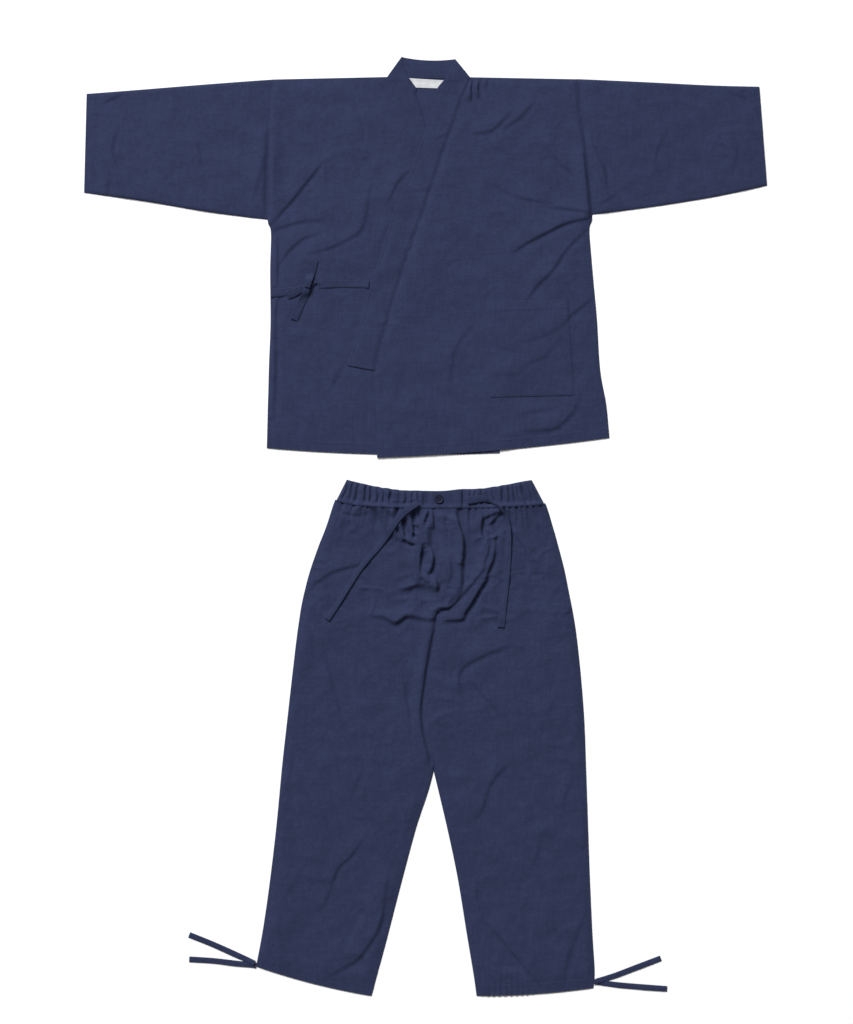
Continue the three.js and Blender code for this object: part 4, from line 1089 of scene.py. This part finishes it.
def waistband(name, node, from_x, to_x, top_inset, rise, seed):
    """A stretch of the waistband, full between its gathers and flat at the placket."""
    parts = np.linspace(0, 1, 1200)
    low, high = waist_line(True, parts), waist_line(False, parts)
    inside = (low[:, 0] >= from_x) & (low[:, 0] <= to_x)
    low, high = low[inside], high[inside]
    run = run_of(low)
    at = marks([run[-1]], round(run[-1] / 1.5), EDGE[:3], EDGE[:3])[0]
    low, high = at_runs(at, run, low), at_runs(at, run, high)
    wave = drift(high[:, 0], 0 * high[:, 0], 9, seed)
    high[:, 1] += 0.9 * wave * (1 - pressed(high[:, 0])) - top_inset
    sewn, folded = np.array([0, 0.7, 2.0, 3.6, 5.2]), np.array([0, 0.6, 1.6, 3.2, 5.5])
    plan = Plan(*rows_between(low, high, STEP, sewn, folded, columns=10)[:2])
    x, y = plan.x, plan.y
    flat = pressed(x)
    full = gathered(x, y) * (1 - flat) + 0.25 * flat
    lift = rise * full * (0.6 + 0.4 * smooth(plan.right / 6))
    lift = lift + 1.6 * rumpled(x, y, 11, seed + 9) * (1 - flat) * smooth(plan.left / 6)
    lift = lift + 0.6 * np.maximum(drift(x, 0.3 * y, 6, seed + 1), -0.5) * (1 - flat)
    for ridge, height, half in BAND_RIDGES:
        lift = lift + height * bell((x - ridge) / half) * (0.4 + 0.6 * smooth(plan.left / 6))
    ground = height_in(rested(4), x, y)
    level = ground[:, ground.shape[1] // 2][:, None]
    lift = np.maximum(level + lift - ground, 0) * smooth((plan.left - 0.5) / 15)
    crown = -0.35 * bell((plan.left - 3.6) / 1.1) - 0.5 * (1 - rolled(plan.right, 3.2))
    crown = crown + sewn_down(plan.left, WAISTBAND_WALL, 6)
    ends = np.minimum(plan.start, plan.end)
    crown = crown - 0.5 * (1 - rolled(ends, 1.6)) * flat
    roll = rolled(np.minimum(ends + 0.4, 60), 5) * (1 - flat) + flat
    at_seam = 1 - smooth(plan.left / 5)
    lay(
        name, plan, "navy_band", node, wall=WAISTBAND_WALL, reach=4,
        lift=lift, crown=crown, roll=roll, snug=at_seam, sink=1.1 * at_seam,
    )
    return plan


def lay_trouser_front(side, rows, creases, inseam, seed):
    """A trouser front, gathered at the waist, with finer mesh beside the fly."""
    outer, inner = ("left", "right") if side == "right" else ("right", "left")
    finer = (0.36, 0.5) if side == "right" else (0.62, 0.5)
    plan = sewn_to_waist(panel(rows, last=HEM_EDGE, early=(0.37, 0.23), early_across=finer))
    x, y = plan.x, plan.y
    from_outer, from_inner = getattr(plan, outer), getattr(plan, inner)
    fades = (plan.start, 30), (plan.end, 40), (from_outer, 16), (from_inner, 24)
    lift = fullness(plan, 2.9, seed, *fades)
    lift = lift + creased(x, y, creases) * (0.4 + 0.6 * smooth(from_inner / 8))
    near_waist = np.exp(-np.maximum(plan.start - WAIST_UNDERLAP, 0) / 30)
    flat = pressed(x)
    lift = lift + WAIST_FULLNESS * (gathered(x, y) * (1 - flat) + 0.1 * flat) * near_waist
    lift = lift + 1.5 * drift(x, 0.2 * y, 8, seed + 7) * np.exp(-plan.start / 45) * (1 - 0.6 * flat)
    crumpled = smooth((y + 260) / 120)
    lift = lift + crumpled * (1.7 * rumpled(x, y, 30, seed + 50) + 1.1 * rumpled(x, y, 15, seed + 60))
    if side == "left":
        drawn = np.maximum(0, 1 - np.abs((x - 162) / 56) ** 4) * np.exp(-plan.end / 26)
        wobble = 2 * math.pi * (x + 2.5 * drift(x, y, 30, 7)) / 11
        lift = lift + 1.5 * drawn * (0.5 + 0.5 * np.cos(wobble))
    lift = np.maximum(lift, 0.1)
    lift = np.where(lift > FULLEST, FULLEST + 3 * np.tanh((lift - FULLEST) / 3), lift)
    above_crotch = smooth((y - CROTCH_Y) / 10)
    below_crotch = smooth((CROTCH_Y + 6 - y) / 16)
    roll = rolled(from_outer, 9) * turned_under(from_inner, 7, below_crotch)
    crown = turned_hem(plan.end) + pulls(x, y, plan.end, 18, 12, seed + 4)
    crown = crown - 0.45 * line_dent(x, y, inseam, 2.6)
    if side == "right":
        for line in FLY_STITCHES:
            crown = crown - 0.4 * line_dent(x, y, line, 1.8)
        crown = crown + above_crotch * sewn_down(from_inner, WALL)
        lift = lift * (1 - above_crotch * (1 - smooth(from_inner / 6)))
    lay(
        f"trouser_front_{side}_cloth", plan, "navy_cotton", f"trousers_front_{side}",
        reach=12, lift=lift, crown=crown, roll=roll,
        snug=above_crotch * (1 - smooth(from_inner / 16)),
        sink=0.28 * above_crotch * (1 - smooth(from_inner / 5)),
    )
    stitch_edge(plan, "end", HEM_LINE, "trousers")
    stitch(beside(inseam, 1.6), "trousers")


def build_trousers():
    at_centre = lambda y: np.interp(y, (CROTCH_Y - 18, CROTCH_Y + 14), (TUCK, 0.5))
    right_back = sewn_to_waist(panel(RIGHT_TROUSER_BACK, COARSE, tuck=(tucked, at_centre)))
    left_back = sewn_to_waist(panel(LEFT_TROUSER_BACK, COARSE, tuck=(at_centre, tucked)))
    for side, plan in (("right", right_back), ("left", left_back)):
        lay(
            f"trouser_back_{side}_cloth", plan, "navy_cotton", f"trousers_back_{side}",
            lift=0,
        )
    waistband(
        "waistband_back_cloth", "waistband_back", -176, 234, 2.5, 1.2,
        51,
    )
    lay_trouser_front("left", LEFT_TROUSER, LEFT_TROUSER_CREASES, LEFT_INSEAM, 61)
    waistband(
        "waistband_left_cloth", "waistband_front_left", PLACKET[0], 235.2, 0, BAND_FULLNESS,
        53,
    )
    lay_trouser_front("right", RIGHT_TROUSER, RIGHT_TROUSER_CREASES, RIGHT_INSEAM, 67)
    for line in FLY_STITCHES + [CENTRE_SEAM_STITCH]:
        stitch(even_line(line, STITCH), "trousers")
    right_band = waistband(
        "waistband_right_cloth", "waistband_front_right", -177.2, PLACKET[1], 0, BAND_FULLNESS,
        55,
    )
    stitch(even_line(edge_line(right_band, "end", 2.4), STITCH), "trousers")
    for aside in (-0.9, 0.9):
        line = [(BUTTON[0] + aside, 41), (BUTTON[0] + aside, 64.5)]
        stitch(even_line(line, 1.3), "trousers")
    stitch_edge(right_band, "left", 3.6, "trousers")


def cylinder(radius, depth, x, y, z, vertices):
    """A cylinder added as the only selected object."""
    bpy.ops.object.select_all(action="DESELECT")
    bpy.ops.mesh.primitive_cylinder_add(
        vertices=vertices, radius=radius * MM, depth=depth * MM, location=(x * MM, y * MM, z * MM)
    )
    return bpy.context.object


def build_button():
    """A round button with a raised rim and four holes, sewn on through them."""
    x, y = BUTTON
    ground = height_in(rested(6), np.array([x]), np.array([y]))[0] + 0.3
    middle = ground + BUTTON_THICKNESS / 2
    button = cylinder(BUTTON_RADIUS, BUTTON_THICKNESS, x, y, middle, 64)
    button.name = "waist_button_disc"
    bpy.ops.object.mode_set(mode="EDIT")
    bpy.ops.mesh.select_all(action="DESELECT")
    bpy.ops.object.mode_set(mode="OBJECT")
    top_face = max(button.data.polygons, key=lambda face: face.center.z)
    top_face.select = True
    bpy.ops.object.mode_set(mode="EDIT")
    bpy.ops.mesh.inset(thickness=BUTTON_RIM * MM, depth=0)
    bpy.ops.mesh.inset(thickness=BUTTON_DISH * MM, depth=-BUTTON_DISH * MM)
    bpy.ops.object.mode_set(mode="OBJECT")
    bevel = button.modifiers.new("soft edges", "BEVEL")
    bevel.width, bevel.segments, bevel.angle_limit = 0.45 * MM, 3, math.radians(30)
    bpy.ops.object.modifier_apply(modifier=bevel.name)
    for dx, dy in ((-2, -2), (-2, 2), (2, -2), (2, 2)):
        drill = cylinder(1.0, 4 * BUTTON_THICKNESS, x + dx, y + dy, middle, 20)
        bpy.ops.object.select_all(action="DESELECT")
        button.select_set(True)
        bpy.context.view_layer.objects.active = button
        cut = button.modifiers.new("hole", "BOOLEAN")
        cut.object, cut.operation, cut.solver = drill, "DIFFERENCE", "EXACT"
        bpy.ops.object.modifier_apply(modifier=cut.name)
        bpy.data.objects.remove(drill)
    bpy.ops.object.transform_apply(location=True, rotation=True, scale=True)
    bpy.ops.object.shade_smooth_by_angle(angle=math.radians(35))
    button.data.materials.clear()
    button.data.materials.append(materials["navy_button"])
    belongs(button, "waist_button")


def twisted_tape(name, places, width, narrowing, turns, reach, raised=(0, 0)):
    """A flat tape laid along the places as a free cord. Narrowing, turns and how far it is
    raised are given at even parts of its length, the turns in degrees about its own line."""
    line = even_line(places, CORD_STEP)
    count = len(line)
    wide = width * spread(narrowing, count)
    turn = np.pad(spread(turns, count), 2, mode="edge")
    turn = np.radians(np.convolve(turn, np.ones(5) / 5, "valid"))
    ground = height_in(rested(reach), line[:, 0], line[:, 1])
    ground = ground + 0.12 + 0.35 * (0.5 + 0.5 * drift(line[:, 0], line[:, 1], 26, len(places)))
    ground = ground + spread(raised, count)
    half = np.abs(np.sin(turn)) * wide / 2 + np.abs(np.cos(turn)) * CORD_THICKNESS / 2
    centre = np.column_stack([line, ground + half])
    angles = np.linspace(0, 2 * math.pi, 19)[:-1]
    flat = np.sign(np.cos(angles)) * np.abs(np.cos(angles)) ** 0.55
    thick = np.sin(angles) * (1 - 0.22 * bell((np.abs(flat) - 0.66) / 0.1))
    aside = np.column_stack([leftwards(headings(line)), 0 * turn])
    up, turn = np.array([0.0, 0.0, 1.0]), turn[:, None]
    across = aside * np.cos(turn) + up * np.sin(turn)
    rising = up * np.cos(turn) - aside * np.sin(turn)
    across, rising = across * wide[:, None] / 2, rising * CORD_THICKNESS / 2
    rings = centre[:, None] + across[:, None] * flat[:, None] + rising[:, None] * thick[:, None]
    sides = len(angles)
    number = np.arange(count * sides).reshape(count, sides)
    number = np.hstack([number, number[:, :1]])
    quads = np.stack([number[:-1, 1:], number[:-1, :-1], number[1:, :-1], number[1:, 1:]], axis=-1)
    faces = quads.reshape(-1, 4).tolist() + [number[0, :-1].tolist(), number[-1, -2::-1].tolist()]
    piece = mesh_object(name, rings.reshape(-1, 3), faces, materials["navy_tape"], flat=2)
    belongs(piece, name.removesuffix("_tape"))
    add_to_pile(*np.moveaxis(rings[:, : sides // 2 + 1], -1, 0))


def build_cords():
    twisted_tape(
        "drawstring_right_tape", RIGHT_DRAWSTRING, DRAWSTRING_WIDTH,
        (0.85, 0.95, 0.95, 0.88, 0.8, 0.76, 0.74, 0.74, 0.8), (6, 0, 3, 4, 6, 8, 8, 8, 6), 5,
        (0.5, 0.8, 0.8, 0.7, 0.6, 0.5, 0.5, 0.4, 0.2),
    )
    twisted_tape(
        "drawstring_left_tape", LEFT_DRAWSTRING, DRAWSTRING_WIDTH,
        (1.1, 1.0, 0.5, 0.42, 0.5, 0.85, 0.95, 0.9, 0.88, 0.86, 0.9, 1.0, 1.06),
        (4, 10, 30, 36, 30, 12, 4, 2, 4, 4, 3, 0, 0), 5,
        (1.6, 1.4, 0.8, 0.5, 0.4, 0.4, 0.4, 0.4, 0.3, 0.2, 0.2, 0.1, 0),
    )
    for name, places in HEM_TIES.items():
        twisted_tape(f"{name}_tape", places, HEM_TIE_WIDTH, (0.94, 1, 1, 1), (0, 3, -2, 0), 2.5)


def light(kind, name, energy, place, source):
    """A light at a place in metres that shines from the direction of its source."""
    bpy.ops.object.light_add(type=kind, location=place)
    lamp = bpy.context.object
    lamp.name = name
    lamp.data.energy = energy
    lamp.rotation_euler = Vector(source).to_track_quat("Z", "Y").to_euler()
    return lamp.data


def build_studio():
    bpy.ops.object.select_all(action="DESELECT")
    bpy.ops.mesh.primitive_plane_add(size=14, location=(0, 0, -0.0003))
    floor = bpy.context.object
    floor.name = "studio_floor"
    floor.data.materials.append(materials["pale_paper"])
    bpy.ops.object.transform_apply(location=True, rotation=True, scale=True)
    floor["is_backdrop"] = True

    world = bpy.data.worlds.new("studio air")
    bpy.context.scene.world = world
    world.use_nodes = True
    background = world.node_tree.nodes["Background"]
    background.inputs["Color"].default_value = (1.0, 1.0, 1.0, 1)
    background.inputs["Strength"].default_value = 0.20

    low = math.radians(50)
    source = (*LIGHT_SIDE * math.sin(low), math.cos(low))
    sun = light("SUN", "soft key light", 3.9, (-1.2, 2.4, 3), source)
    sun.angle = math.radians(22)
    light("AREA", "soft box above the jacket", 19, (-0.9, 1.5, 2.2), (-0.7, 0.6, 2.2)).size = 1.2

    camera_data = bpy.data.cameras.new("photo camera")
    camera = bpy.data.objects.new("photo camera", camera_data)
    bpy.context.scene.collection.objects.link(camera)
    camera_data.sensor_width = SENSOR
    camera_data.lens = SENSOR * CAMERA_HEIGHT / PHOTO_TALL
    camera.location = (PHOTO_MIDDLE[0] * MM, PHOTO_MIDDLE[1] * MM, CAMERA_HEIGHT * MM)
    bpy.context.scene.camera = camera
    bpy.context.scene.view_settings.view_transform = "Standard"


build_studio()
build_jacket()
build_fastening()
build_trousers()
build_button()
build_cords()
stitching_object("jacket")
stitching_object("trousers")

boxes = {"cad": CAD_BOX, "visual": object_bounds()}
{key: [list(corner) for corner in box] for key, box in boxes.items()}
